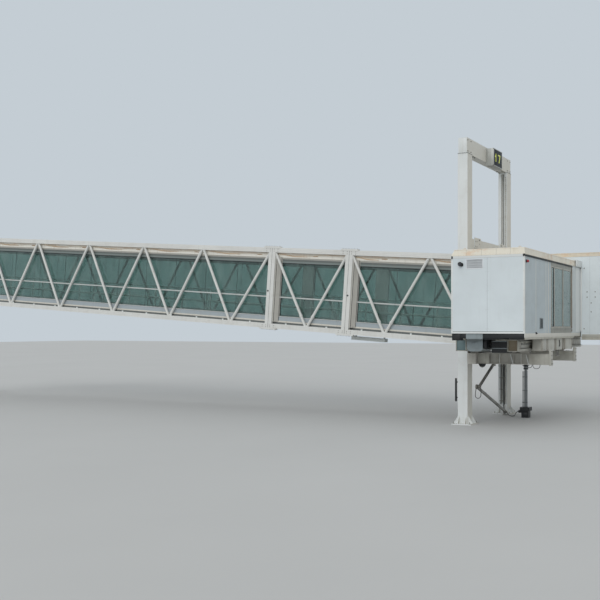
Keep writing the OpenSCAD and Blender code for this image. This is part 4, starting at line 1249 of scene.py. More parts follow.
@dataclass
class Walkway(Part):
    """Trusses, walls, glass, roof and floor of the sloping walkway."""

    joints: tuple[float, float] = (18.8, 22.2)
    start: float = -0.12
    end: float = 27.35
    outer: float = 0.75
    low: float = 0.2
    high: float = 3.4
    bay: float = 3.08
    body: ClassVar[Body] = Body.WALKWAY
    place: ClassVar[Matrix] = SLOPED

    def build(self) -> None:
        """Dresses the nodes and adds the fine pieces."""
        f = self.finish
        self.dress(f.truss, "near_truss", "far_truss")
        self.dress(f.walkway_roof, "tunnel_roof")
        self.dress(f.deck, "tunnel_floor")
        self.dress(f.walkway_glass, "tunnel_glass")
        self.dress(f.rail, "handrails", "cable_tray")
        self.dress(f.steel, "tunnel_hinge")
        self.dress(f.wall, "near_side_wall", "far_side_wall")
        self.splices()
        self.fittings()
        self.seams()
        self.roof_edge()
        self.windows()
        self.inside()

    def splices(self) -> None:
        """Bolts on the splice plates, on top, below and on their faces."""
        out, low, high = self.outer, self.low, self.high
        edges = (out + 0.03, out + 0.11, SPAN - out - 0.03, SPAN - out - 0.11)
        rows = [s + k for s in self.joints for k in (-0.3, -0.18, -0.06, 0.06, 0.18, 0.3)]
        self.bolts("splice_bolts_top", grid(rows, edges, high + 0.046), 0.014, Slot.CREAM)
        self.bolts("splice_bolts_under", grid(rows, edges, low - 0.046), 0.014, Slot.CREAM, DOWN)
        rows = [s + k for s in self.joints for k in (-0.26, -0.09, 0.09, 0.26)]
        side = grid(rows, out, (low + 0.055, low + 0.12, high - 0.14, high - 0.06))
        self.bolts("splice_bolts_side", side, 0.011, Slot.CREAM, TO_NEAR)
        self.bolts("splice_bolts_far", [far(p) for p in side], 0.011, Slot.CREAM, TO_FAR)

    def fittings(self) -> None:
        """Post sockets, fin studs and the drain caps on the lower chord."""
        f, out, (one, two) = self.finish, self.outer, self.joints
        sockets = mirrored([(one - 0.09, out, 1.68), (two + 0.04, out, 1.68)])
        self.knobs("post_sockets", sockets, 0.034, 0.016, f.gasket, Slot.SEAL, [TO_NEAR] * 2 + [TO_FAR] * 2)
        studs = mirrored(grid((one + 0.155, two + 0.155), 0.86, (0.95, 1.25, 1.9, 2.5)))
        self.knobs("fin_studs", studs, 0.014, 0.012, f.gasket, Slot.SEAL, TO_FRONT)
        drains = [19.6, 21.4, 22.9, 24.9, 26.1, 26.9] + steps(0.9, 1.31, 14)
        self.knobs("chord_drain_caps", mirrored(grid(drains, out + 0.04, self.low + 0.19)), 0.036, 0.046, f.rail,
                   Slot.CREAM)

    def seams(self) -> None:
        """Weld lines on the chords, joints in the posts and clamps on the diagonals."""
        f, out, low, high = self.finish, self.outer, self.low, self.high
        lines, seams, clamps = self.make(), self.make(), self.make()
        for a, b in ((self.start + 0.15, 18.63), (18.97, 22.03), (22.37, 27.2)):
            for n in (low + 0.062, low + 0.13, high - 0.132, high - 0.07):
                lines.both(a, out - 0.0035, n, b, out + 0.002, n + 0.008)
        lines.piece("chord_weld_lines", f.truss, Slot.CREAM, smooth=False)
        for s in self.joints:
            seams.both(s - 0.005, out - 0.001, low + 0.01, s + 0.005, out + 0.14, high - 0.01)
            seams.both(s + 0.206, 0.794, 0.48, s + 0.22, 0.81, 3.04)
            seams.both(s + 0.372, 0.905, 0.48, s + 0.384, 0.92, 3.04)
        seams.piece("post_seams", f.gasket, Slot.SEAL, smooth=False)
        for a, b in ((20.5, 18.875), (20.5, 22.125), (23.82, 22.275), (23.82, 25.43)):
            for y in POSTS:
                foot, head = Vector((a, y, 0.295)), Vector((b, y, 3.305))
                middle, along = foot.lerp(head, 0.16), (head - foot).normalized() * 0.035
                clamps.rod(middle - along, middle + along, 0.068, 20)
        clamps.piece("diagonal_clamps", f.truss, Slot.CREAM)

    def roof_edge(self) -> None:
        """The wavy sealing strip along the fascia's top, its run-off stains and the vents."""
        f, strips, marks, vents = self.finish, self.make(), self.make(), self.make()
        for a, b in ((self.start + 0.16, 18.63), (18.97, 22.03), (22.37, 27.2)):
            count, rows = max(8, int((b - a) / 0.11)), []
            for s in (a + (b - a) * k / count for k in range(count + 1)):
                n = 3.148 - 0.03 * math.sin(s * 2.04 - 1.6) - 0.01 * math.sin(s * 5.3)
                thick = 0.013 + 0.006 * math.sin(s * 3.1)
                rows.append([(s, 0.914, n - thick), (s, 0.895, n - thick * 0.4), (s, 0.89, n), (s, 0.9, n + thick),
                             (s, 0.914, n + thick)])
            strips.loft_both(rows)
        strips.piece("roof_edge_seal", f.edge_seal, Slot.CREAM)
        stains = [(0.3 + self.bay * k, 1.5, 0.07) for k in range(6)]
        stains += [(19.02, 1.3, 0.085), (22.42, 0.95, 0.1), (25.45, 1.1, 0.07)]
        for start, length, drop in stains:
            rows = []
            for share in (k / 14 for k in range(15)):
                s, thick = start + length * share, 0.014 * math.sin(math.pi * (0.12 + 0.8 * share))
                n = 3.16 - drop * math.sin(math.pi * 0.5 * share) + 0.008 * math.sin(9.0 * share)
                rows.append([(s, 0.906, n - thick), (s, 0.884, n - thick), (s, 0.884, n + thick),
                             (s, 0.906, n + thick)])
            marks.loft_both(rows)
        marks.piece("run_off_marks", f.run_off, Slot.CREAM)
        for s in (2.68, 5.76, 8.84, 11.92, 15.0, 18.08, 20.62, 23.55):
            for y in (0.9065, SPAN - 0.9065):
                vents.dome((s + 0.05, y, 3.115), 0.5, (0.26, 0.012, 0.04))
        vents.piece("fascia_vents", f.vent, Slot.PALE)

    def windows(self) -> None:
        """Gaskets round the long panes, the posts' reveals, sill strips and rail brackets."""
        f, gasket, reveal, trim, brackets = self.finish, self.make(), self.make(), self.make(), []
        for a, b in ((0.04, 18.64), (19.2, 22.04), (22.6, 27.19)):
            for s0, n0, s1, n1 in ((a, 2.79, b, 2.82), (a, 0.69, b, 0.705), (a, 0.69, a + 0.018, 2.82),
                                   (b - 0.018, 0.69, b, 2.82)):
                gasket.both(s0, 0.934, n0, s1, 0.975, n1)
            trim.both(a - 0.02, 0.9, 0.686, b + 0.02, 0.935, 0.704, 0.004)
            count = max(1, round((b - a) / 1.54))
            places = [a + (b - a) * k / count for k in range(count + 1)]
            for s in places[1:-1]:
                gasket.both(s - 0.004, 0.957, 0.7, s + 0.004, 0.976, 2.8)
            brackets += grid(places, 0.93, 1.455)
        gasket.piece("window_gaskets", f.gasket, Slot.SEAL, smooth=False)
        for joint in self.joints:
            a, b = joint + 0.148, joint + 0.402
            outlines = [(0.47, 3.05, [(a, 0.79), (a + 0.06, 0.80), (b - 0.03, 0.918), (b, 0.925), (b, 0.935),
                                      (a, 0.93)])]
            for share in (0.3, 0.45, 0.8):
                s, y = a + 0.06 + 0.165 * share, 0.80 + 0.118 * share
                outlines.append((0.48, 3.04, [(s, y - 0.006), (s + 0.012, y + 0.002), (s + 0.008, y + 0.012),
                                              (s - 0.004, y + 0.004)]))
            for low, high, outline in outlines:
                reveal.loft_both([[(s, y, n) for s, y in outline] for n in (low, high)])
        # The reveals' darker finish is partly painted shade.
        reveal.piece("window_reveals", f.reveal, Slot.PALE, smooth=False)
        trim.piece("sill_cover_strips", f.truss, Slot.CREAM)
        self.bars("mid_rail_brackets", mirrored(brackets), (0.03, 0.05, 0.03), f.truss, Slot.CREAM)

    def inside(self) -> None:
        """Roof seams, ceiling lamps, skirting, floor joints, and the pipes under the floor."""
        f, half = self.finish, self.bay / 2
        seams = grid(steps(self.start + 0.4, 0.77, 35), MID, 3.295)
        self.bars("roof_standing_seams", seams, (0.03, 2.7, 0.035), f.walkway_roof, Slot.CREAM)
        lamps = grid(steps(1.2, self.bay, 9), MID, 3.195)
        self.bars("ceiling_lamps", lamps, (1.3, 0.16, 0.05), f.white_lens, Slot.PALE)
        skirting = self.make().both(self.start + 0.05, 1.02, 0.6, self.end - 0.05, 1.035, 0.7, 0.004)
        skirting.piece("floor_skirting", f.side_wall, Slot.PALE)
        self.bars("floor_joint_strips", grid(steps(0.6, half, 18), MID, 0.601), (0.05, 2.6, 0.008), f.steel, Slot.METAL)
        pipes = self.make()
        for y, r in ((1.9, 0.045), (2.05, 0.03), (2.75, 0.038)):
            pipes.tube([(s, y, 0.27) for s in (self.start + 0.05, 9.0, 18.0, self.end - 0.2)], r, 14)
        pipes.piece("floor_pipes", f.sheet, Slot.GREY)
        self.bars("pipe_hangers", grid(steps(0.7, half, 18), 2.3, 0.325), (0.04, 1.05, 0.09), f.steel, Slot.METAL)


@dataclass
class LiftFrame(Part):
    """Hangers, beams, rails and everything slung under the gallery."""

    beam_low: float = 2.1
    beam_high: float = 2.47

    def build(self) -> None:
        """Dresses the nodes and adds the fine pieces."""
        f = self.finish
        self.dress(f.cream, "hangers", "crosshead")
        self.dress(f.frame_steel, "lift_beam", "outrigger_beams")
        self.dress(f.rail_steel, "carrier_rails", "rail_rack")
        self.dress(f.sheet, "equipment_housing")
        self.dress(f.black, "drive_box", "under_lamp")
        self.dress(f.boxes, "floor_boxes")
        self.dress(f.steel, "walkway_rollers")
        self.dress(f.chrome, "mast_rod")
        self.head()
        self.beams()
        self.rails()
        self.housings()
        self.slung_boxes()

    def head(self) -> None:
        """Crosshead fittings: pins, chain shackles and joint bolts."""
        f, pins = self.finish, self.make()
        for y in (1.04, SPAN - 1.04):
            pins.rod((0.14, y, 6.45), (0.2, y, 6.45), 0.02, 18)
            pins.box(0.145, y - 0.03, 6.30, 0.184, y + 0.03, 6.33, 0.004)
        for y, inward in ((0.277, 1), (SPAN - 0.277, -1)):
            pins.rod((0.118, y + inward * 0.024, 6.38), (0.118, y + inward * 0.1, 6.38), 0.012, 12)
        pins.piece("crosshead_pins", f.steel, Slot.METAL)
        spots = grid(0.18, (0.6, 0.75, SPAN - 0.75, SPAN - 0.6), (6.2, 6.38))
        self.bolts("crosshead_bolts", spots, 0.013, turn=TO_FRONT)
        self.blocks("crosshead_straps", f.cream, Slot.CREAM,
                    [(x, y - 0.04, 6.06, x + 0.006, y + 0.04, 6.44) for y in (1.6, 2.35, 3.1) for x in (-0.156, 0.15)],
                    0.002)

    def beams(self) -> None:
        """Gussets, cover plates, end-plate bolts, flange bolts and the lamp's collar."""
        f, low, high, make = self.finish, self.beam_low, self.beam_high, self.make()
        for y, end in ((0.0, 2.94), (SPAN, 2.66)):
            make.boxes([(x, a, low + 0.024, x + 0.014, a + 0.091, high - 0.024)
                        for x in (0.78, 1.25, 1.985) for a in (y - 0.1, y + 0.009)])
            for x0, x1 in ((1.62, 1.735), (2.15, 2.265), (end - 0.16, end)):
                for a in (y - 0.107, y + 0.095):
                    make.prism("Y", a, a + 0.012, [(x0, high - 0.025), (x0 + 0.02, high - 0.025), (x1, low + 0.03),
                                                   (x1, low + 0.02), (x1 - 0.03, low + 0.02)])
        make.boxes([(0.2, y - 0.008, low - 0.008, 0.5, y + 0.008, high + 0.008) for y in (0.12, SPAN - 0.12)], 0.002)
        make.piece("beam_gussets", f.cream, Slot.GREY)
        self.blocks("beam_cover_plates", f.boxes, Slot.GREY, (
            (0.51, 4.588, 2.122, 2.655, 4.598, 2.448), (0.5, -0.112, 2.122, 0.9, -0.102, 2.448),
            (2.27, -0.112, 2.122, 2.938, -0.102, 2.448), (2.717, 4.568, 2.078, 2.725, 4.832, 2.602),
            (2.658, 4.565, 2.078, 2.722, 4.573, 2.602), (2.997, -0.132, 2.078, 3.005, 0.132, 2.602),
            (2.938, -0.135, 2.078, 3.002, -0.127, 2.602)), 0.003)
        levels = (2.14, 2.28, 2.42, 2.55)
        ends = grid(3.005, (-0.085, 0.085), levels) + grid(2.725, (SPAN - 0.085, SPAN + 0.085), levels)
        self.bolts("end_plate_bolts", ends, 0.014, turn=TO_FRONT)
        tops = grid((0.62, 0.7, 1.4, 1.48, 2.38, 2.46), (-0.075, 0.075, SPAN - 0.075, SPAN + 0.075), high)
        self.bolts("flange_bolts", tops, 0.012)
        lamp = self.make().ring((0.64, -0.06, 2.094), 0.122, 0.012, 32)
        lamp.box(0.56, -0.08, 2.085, 0.72, -0.04, 2.102, 0.003).piece("lamp_collar", f.black, Slot.BLACK)
        self.make().dome((0.64, -0.06, 2.02), 0.07, (1.0, 1.0, 0.75)).piece("lamp_lens", f.white_lens, Slot.BLACK)

    def rails(self) -> None:
        """Rack teeth, rail ends, running strips, side bolts and cables."""
        f, trim = self.finish, []
        teeth = grid(2.372, steps(-1.4, 0.05, 174), 2.655)
        self.bars("rack_teeth", teeth, (0.03, 0.025, 0.03), f.steel, Slot.METAL)
        for x0, x1 in ((0.216, 0.574), (1.946, 2.304)):
            for y0, y1 in ((-1.556, -1.53), (7.48, 7.506)):
                trim += [(x0, y0, 2.566, x1, y1, 2.59), (x0, y0, 2.93, x1, y1, 2.954),
                         (x0, y0, 2.57, x0 + 0.024, y1, 2.95), (x1 - 0.024, y0, 2.57, x1, y1, 2.95)]
        self.blocks("rail_end_trims", f.boxes, Slot.GREY, trim, 0.003)
        self.blocks("rear_rail_end_plates", f.board_blue, Slot.GREY,
                    [(0.235, y, 2.585, 0.555, y + 0.015, 2.935) for y in (-1.53, 7.465)], 0.003)
        self.blocks("front_rail_end_boards", f.board_brown, Slot.GREY,
                    [(1.965, y, 2.585, 2.285, y + 0.02, 2.935) for y in (-1.44, 7.37)])
        self.blocks("running_strips", f.steel, Slot.METAL,
                    [(x, 4.72, 2.948, x + 0.03, 7.48, 2.9545) for x in (0.255, 2.0, 2.21)])
        self.bolts("rail_side_bolts", grid(2.3005, steps(-1.3, 0.9, 10), 2.9), 0.012, turn=TO_FRONT)
        points = [(2.335, -1.25 + k * 0.07, 2.79 + 0.012 * math.sin(k * 1.3)) for k in range(26)]
        cable = self.make().tube(points, 0.013, 8).tube([(x, y, z + 0.03) for x, y, z in points], 0.009, 8)
        for _, y, z in (points[k] for k in (0, 6, 12, 18, 25)):
            cable.boxes([(2.298, y - 0.012, z - 0.02, 2.352, y + 0.012, z - 0.01),
                         (2.345, y - 0.012, z - 0.02, 2.352, y + 0.012, z + 0.05)], 0.002)
        cable.piece("rail_cables", f.sign_case, Slot.GREY)

    def housings(self) -> None:
        """Joints and rivets on the housing, strips and fins on the drive box, the mast's flanges."""
        f = self.finish
        self.blocks("housing_straps", f.sheet, Slot.GREY, (
            (0.699, -1.512, 2.72, 1.231, -1.488, 3.0), (0.699, -1.162, 2.72, 1.231, -1.138, 3.0),
            (0.7, -1.853, 2.99, 1.23, -1.846, 3.02), (0.86, -1.856, 2.66, 1.08, -1.848, 2.9, 0.003)), 0.002)
        rivets = grid((0.74, 0.85, 0.96, 1.07, 1.18), -1.85, 2.96) + grid((0.88, 1.06), -1.856, (2.68, 2.88))
        self.knobs("housing_rivets", rivets, 0.008, 0.006, f.bolt, Slot.METAL, TO_NEAR)
        hood = self.make().box(1.23, -1.83, 2.64, 1.36, -0.85, 3.01, 0.04)
        hood.tube([(1.3, -1.83, 2.76), (1.3, -1.6, 2.72), (1.4, -1.5, 2.7), (1.47, -1.45, 2.72)], 0.035)
        hood.piece("housing_side_duct", f.black, Slot.BLACK)
        self.blocks("drive_box_strips", f.sheet, Slot.GREY,
                    [(1.444, -1.606, z, x, y, z + 0.02) for z in (2.658, 2.888)
                     for x, y in ((1.956, -1.598), (1.452, -1.0))], 0.002)
        fins = grid(steps(1.5, 0.036, 12), -1.601, 2.78)
        self.bars("drive_box_fins", fins, (0.008, 0.012, 0.16), f.black, Slot.BLACK)
        mast = self.make()
        for low, high, radius in ((1.8, 1.84, 0.09), (1.9, 1.93, 0.095)):
            mast.rod((1.215, 3.33, low), (1.215, 3.33, high), radius, 24)
        mast.boxes(((1.07, 3.19, 2.02, 1.36, 3.47, 2.08, 0.006), (1.11, 3.22, 1.925, 1.32, 3.44, 1.945),
                    (1.13, 3.25, 2.98, 1.3, 3.41, 3.02)), 0.004)
        mast.piece("mast_head_flanges", f.black, Slot.BLACK)

    def slung_boxes(self) -> None:
        """Straps, lids, hooks and screws of the boxes slung under the gallery."""
        f, straps, lids, screws = self.finish, [], [], []
        for y in (-0.30, 0.31, 0.47, 1.36, 1.53, 1.6, 2.5, 2.56, 2.83, 2.9, 3.95):
            straps += [(2.748, y - 0.012, 2.566, 2.758, y + 0.012, 3.02),
                       (2.45, y - 0.012, 2.562, 2.758, y + 0.012, 2.572)]
        self.blocks("box_straps", f.strap, Slot.GREY, straps, 0.002)
        for a, b in ((-0.34, 0.35), (0.41, 1.41), (1.48, 2.6), (2.78, 4.03)):
            lids += [(2.749, a + 0.04, 2.62, 2.7545, b - 0.04, 2.96), (2.45, a - 0.004, 2.985, 2.757, b + 0.004, 3.005)]
            screws += grid(2.7545, (a + 0.07, b - 0.07), (2.65, 2.93))
        self.blocks("box_lids", f.boxes, Slot.GREY, lids, 0.002)
        hook = self.make().tube([(2.765, 2.02, 2.9), (2.776, 1.99, 2.86), (2.778, 2.03, 2.8), (2.774, 2.05, 2.76),
                                 (2.776, 2.01, 2.72), (2.77, 1.98, 2.69)], 0.014, 8)
        hook.box(2.754, 2.0, 2.86, 2.776, 2.04, 2.92, 0.003).piece("box_cable_hook", f.black, Slot.BLACK)
        bracket = self.make().boxes(((2.6, 2.15, 2.36, 2.64, 2.19, 2.57), (2.6, 2.43, 2.36, 2.64, 2.47, 2.57),
                                     (2.59, 2.13, 2.33, 2.65, 2.49, 2.36)), 0.003)
        bracket.ring((2.62, 2.31, 2.42), 0.055, 0.012, axis=(1.0, 0.0, 0.0))
        bracket.piece("box_ring_bracket", f.arm, Slot.GREY)
        self.bolts("box_lid_screws", screws, 0.009, turn=TO_FRONT, stud=0.9)


@dataclass
class Gallery(Part):
    """The gallery's walls, windows, roof and inside."""

    x0: float = 0.42
    x1: float = 2.8
    y0: float = -2.57

    def build(self) -> None:
        """Dresses the nodes and adds the fine pieces."""
        f = self.finish
        self.dress(f.slab, "gallery_floor")
        self.dress(f.pale, "gallery_near_wall")
        self.dress(f.rear, "gallery_rear_wall")
        self.dress(f.front, "gallery_front_wall")
        self.dress(f.roof, "gallery_roof")
        self.dress(f.pane, "gallery_glass")
        self.dress(f.louvre, "gallery_louvre")
        self.dress(f.gasket, "roof_gutter")
        self.dress(f.rubber, "entry_seal")
        self.trims()
        self.near_face()
        self.front_face()
        self.windows()
        self.roof_pieces()
        self.inside()
        self.doorway()

    def trims(self) -> None:
        """Corner covers, joints under the roof, and the trays and duct under the floor."""
        f, x0, x1, y0 = self.finish, self.x0, self.x1, self.y0
        self.blocks("gallery_corner_trims", f.cream, Slot.CREAM, (
            (x0 - 0.004, y0 - 0.004, 3.155, x0 + 0.05, y0 + 0.05, 5.6, 0.006),
            (x1 - 0.05, y0 - 0.004, 3.155, x1 + 0.004, y0 + 0.05, 5.6, 0.006),
            (x0 - 0.004, y0 - 0.008, 3.152, x1 + 0.006, y0 + 0.02, 3.212, 0.005),
            (x1 - 0.01, y0, 3.03, x1 + 0.005, 5.13, 3.16, 0.004),
            (x0 - 0.003, y0 - 0.006, 5.548, x1 + 0.003, y0 + 0.01, 5.644, 0.003)))
        self.blocks("gallery_joint_gaskets", f.gasket, Slot.SEAL, (
            (x0 + 0.004, y0 - 0.003, 5.645, x1 - 0.002, y0 + 0.004, 5.656),
            (x0 + 0.003, y0 - 0.0015, 3.212, x1 - 0.003, y0 + 0.01, 3.222),
            (x1 - 0.02, y0 + 0.1, 5.606, x1 + 0.002, 3.78, 5.618)), smooth=False)
        self.blocks("underfloor_trays", f.black, Slot.BLACK, (
            (x0 + 0.01, y0 + 0.04, 2.93, 0.7, y0 + 0.4, 3.15), (0.7, y0 + 0.05, 3.0, 0.9, y0 + 0.12, 3.15, 0.006),
            (1.45, y0 + 0.05, 3.0, 2.77, y0 + 0.12, 3.15, 0.006), (1.45, y0 + 0.1, 2.96, 1.94, -0.9, 3.022),
            (2.31, y0 + 0.1, 2.97, 2.76, -0.4, 3.022)), 0.01)
        duct = self.make().loft([[(a, y, 3.15), (a, y, low), (b, y, low), (b, y, 3.15)]
                                 for y, a, b, low in ((y0 + 0.045, 0.9, 1.445, 2.985), (-1.84, 0.7, 1.23, 2.9))])
        duct.piece("housing_duct", f.sheet, Slot.GREY, smooth=False)

    def near_face(self) -> None:
        """Louvre frame and slats, the camera, outlets and screws."""
        f, y, a, b, low, high, w = self.finish, self.y0, 0.91, 1.48, 5.205, 5.525, 0.022
        frame = [(x, y - 0.008, low, x + w, y + 0.02, high) for x in (a, b - w)]
        frame += [(a + w, y - 0.008, z, b - w, y + 0.02, z + w) for z in (low, high - w)]
        self.blocks("louvre_frame", f.louvre, Slot.PALE, frame, 0.002)
        slats = grid((a + b) / 2, y + 0.004, steps(low + 0.03, 0.026, 11))
        self.bars("louvre_slats", slats, (b - a - 0.04, 0.018, 0.005), f.louvre, Slot.PALE, (0.6, 0.0, 0.0))
        eye = self.make().rod((0.77, y, 5.35), (0.77, y - 0.02, 5.35), 0.06, 24)
        eye.rod((0.77, y - 0.01, 5.35), (0.75, y - 0.08, 5.362), 0.03).dome((0.745, y - 0.10, 5.365), 0.07)
        eye.piece("near_camera", f.black, Slot.BLACK)
        self.make().dome((0.752, y - 0.145, 5.345), 0.04).piece("camera_lens", f.dark_lens, Slot.BLACK)
        out = self.make().boxes(((0.425, y - 0.012, 5.555, 0.475, y + 0.03, 5.64),
                                 (2.745, y - 0.012, 5.565, 2.812, y + 0.03, 5.64)), 0.008)
        for x, z in ((0.45, 5.57), (2.78, 5.58)):
            out.rod((x, y - 0.01, z), (x, y - 0.035, z - 0.02), 0.016, 12)
        out.piece("roof_outlets", f.black, Slot.BLACK)
        levels = (3.3, 3.9, 4.5, 5.1, 5.5)
        screws = grid((0.445, 2.775), y - 0.004, levels) + grid((1.575, 1.645), y, levels)
        self.knobs("near_wall_rivets", screws, 0.006, 0.003, f.bolt, Slot.METAL, TO_NEAR)

    def front_face(self) -> None:
        """Panel ribs, the red lamp, the grille and the fittings by the sill."""
        f, x = self.finish, self.x1
        self.blocks("front_panel_ribs", f.cream, Slot.PALE, (
            (x - 0.002, -1.28, 3.17, x + 0.006, -1.24, 5.6), (x - 0.002, -0.01, 3.17, x + 0.006, 0.03, 5.6),
            (x - 0.002, 0.3, 3.17, x + 0.008, 0.36, 5.6, 0.004)), 0.003)
        lamp = self.make().rod((x, -2.4, 5.41), (x + 0.035, -2.4, 5.41), 0.05, 24, 0.045)
        lamp.piece("signal_lamp_base", f.black, Slot.BLACK)
        lens = self.make().dome((x + 0.05, -2.4, 5.41), 0.05, (1.0, 0.9, 0.9))
        lens.piece("signal_lamp_lens", f.red_lens, Slot.BLACK)
        self.blocks("front_grille_frame", f.sheet, Slot.PALE,
                    rim((x - 0.003, -0.78, 3.3), (x + 0.012, -0.384, 3.66), 0.028), 0.003)
        self.blocks("front_grille_back", f.gasket, Slot.BLACK, [(x - 0.004, -0.76, 3.32, x + 0.002, -0.4, 3.64)])
        slats = grid(x + 0.006, -0.58, steps(3.345, 0.024, 12))
        self.bars("front_grille_slats", slats, (0.012, 0.35, 0.004), f.sheet, Slot.PALE, (0.0, 0.5, 0.0))
        knob = self.make().box(x, -1.29, 3.13, x + 0.03, -1.22, 3.2, 0.008)
        knob.rod((x + 0.02, -1.25, 3.165), (x + 0.05, -1.25, 3.15), 0.02, 14)
        knob.piece("front_gland", f.black, Slot.BLACK)
        self.blocks("window_sill", f.sill, Slot.GREY, ((x - 0.01, 0.66, 3.28, x + 0.03, 3.7, 3.335, 0.006),
                                                       (x - 0.004, 0.66, 3.165, x + 0.012, 3.7, 3.285, 0.003)))
        self.blocks("sill_gaps", f.strap, Slot.GREY,
                    [(x + 0.008, y - 0.008, 3.17, x + 0.014, y + 0.008, 3.33) for y in (1.13, 2.39)])
        dots = grid(x, (-2.3, -1.4, -1.12, -0.12), (3.3, 4.1, 4.9, 5.5)) + [(x, 0.52, 4.45)]
        self.knobs("front_wall_rivets", dots, 0.007, 0.004, f.bolt, Slot.METAL, TO_FRONT)

    def windows(self) -> None:
        """Window frames and gaskets, the brown end jamb, the end panels and the push bars."""
        f, x = self.finish, self.x1
        posts = ((0.72, 0.035), (1.13, 0.04), (2.39, 0.045), (3.64, 0.035))
        rows = [(x - 0.03, y - w, 3.335, x + 0.004, y + w, 5.44) for y, w in posts]
        rows += [(x - 0.03, 0.7, z, x + 0.004, 3.66, z + 0.045) for z in (3.335, 5.40)]
        self.blocks("window_frames", f.boxes, Slot.GREY, rows, 0.003)
        for name, finish, panes in (("window_gaskets_front", f.gasket, ((0.758, 1.088),)),
                                    ("wide_pane_gaskets", f.sill, ((1.168, 2.348), (2.428, 3.598)))):
            rows = []
            for low, high in panes:
                rows += [(x - 0.023, y, 3.38, x + 0.006, y + 0.014, 5.4) for y in (low, high - 0.014)]
                rows += [(x - 0.023, low, z, x + 0.006, high, z + 0.014) for z in (3.376, 5.386)]
            self.blocks(name, finish, Slot.SEAL, rows, smooth=False)
        for name, finish, slot, row in (
                ("window_jamb", f.strap, Slot.GREY, (x - 0.02, 3.69, 3.2, x + 0.022, 3.735, 5.56, 0.004)),
                ("window_head_panel", f.sill, Slot.GREY, (x - 0.002, 0.68, 5.446, x + 0.006, 3.688, 5.6, 0.002)),
                ("front_end_panel", f.rear, Slot.PALE, (x - 0.002, 3.79, 3.18, x + 0.003, 4.4, 5.598)),
                ("front_last_panel", f.white, Slot.PALE, (x - 0.002, 4.41, 3.18, x + 0.003, 5.09, 5.598))):
            self.blocks(name, finish, slot, [row])
        bars = self.make()
        for a, b in ((1.2, 2.3), (2.48, 3.55)):
            bars.rod((x - 0.1, a, 4.2), (x - 0.1, b, 4.2), 0.02, 12)
            for y in (a + 0.1, b - 0.1):
                bars.rod((x - 0.1, y, 4.2), (x - 0.03, y, 4.2), 0.012, 10)
        bars.piece("inner_push_bars", f.chrome, Slot.METAL)

    def roof_pieces(self) -> None:
        """Seams, edge beads, hatch and lifting eyes on the gallery's roof."""
        f, x0, x1, y0 = self.finish, self.x0, self.x1, self.y0
        self.bars("gallery_roof_seams", grid(1.66, steps(-2.3, 0.62, 13), 5.832), (2.1, 0.03, 0.022), f.cab_roof,
                  Slot.CREAM)
        self.blocks("roof_edge_beads", f.roof, Slot.CREAM, (
            (x1 - 0.012, y0 - 0.006, 5.8, x1 + 0.006, 4.2, 5.834, 0.006),
            (x0 + 0.1, y0 - 0.008, 5.805, x1 + 0.006, y0 + 0.01, 5.834, 0.006),
            (x1 - 0.008, y0 - 0.004, 5.625, x1 + 0.012, 4.2, 5.66),
            (x0 + 0.01, y0 - 0.012, 5.625, x1 + 0.012, y0 + 0.006, 5.655)), 0.005)
        hatch = self.make().box(1.25, 0.2, 5.825, 1.95, 0.9, 5.9, 0.02).box(1.2, 0.15, 5.825, 2.0, 0.95, 5.85, 0.008)
        for spot in grid((0.75, 2.55), (-2.2, 2.6), 5.86):
            hatch.ring(spot, 0.04, 0.01, axis=(0.0, 1.0, 0.0))
        hatch.piece("roof_hatch", f.cab_roof, Slot.CREAM)

    def inside(self) -> None:
        """Floor covering, ceiling lamps and inner skirting."""
        f, x0, x1, y0 = self.finish, self.x0, self.x1, self.y0
        self.blocks("gallery_floor_covering", f.deck, Slot.GREY,
                    [(x0 + 0.09, y0 + 0.09, 3.148, x1 - 0.09, 5.58, 3.154)], 0.002)
        self.bars("gallery_ceiling_lamps", grid(1.6, steps(-1.8, 1.5, 5), 5.605), (0.16, 1.0, 0.04), f.white_lens,
                  Slot.PALE)
        self.blocks("gallery_skirting", f.side_wall, Slot.PALE, (
            (x0 + 0.1, y0 + 0.078, 3.15, x1 - 0.1, y0 + 0.092, 3.27),
            (x1 - 0.092, y0 + 0.1, 3.15, x1 - 0.079, 5.1, 3.27)), 0.003)

    def doorway(self) -> None:
        """Steel frame of the rear doorway and folds of its rubber seal."""
        f, folds = self.finish, self.make()
        self.blocks("rear_door_frame", f.cream, Slot.CREAM, (
            (0.43, 0.98, 3.17, 0.53, 1.01, 5.45), (0.43, 3.69, 3.17, 0.53, 3.72, 5.45),
            (0.43, 0.98, 5.42, 0.53, 3.72, 5.452)), 0.004)
        for x in (0.368, 0.39, 0.412):
            for y in (0.798, 3.902):
                folds.rod((x, y, 3.05), (x, y, 5.7), 0.011, 10)
            folds.rod((x, 0.798, 5.702), (x, 3.902, 5.702), 0.011, 10)
        folds.piece("entry_seal_folds", f.rubber, Slot.SEAL)


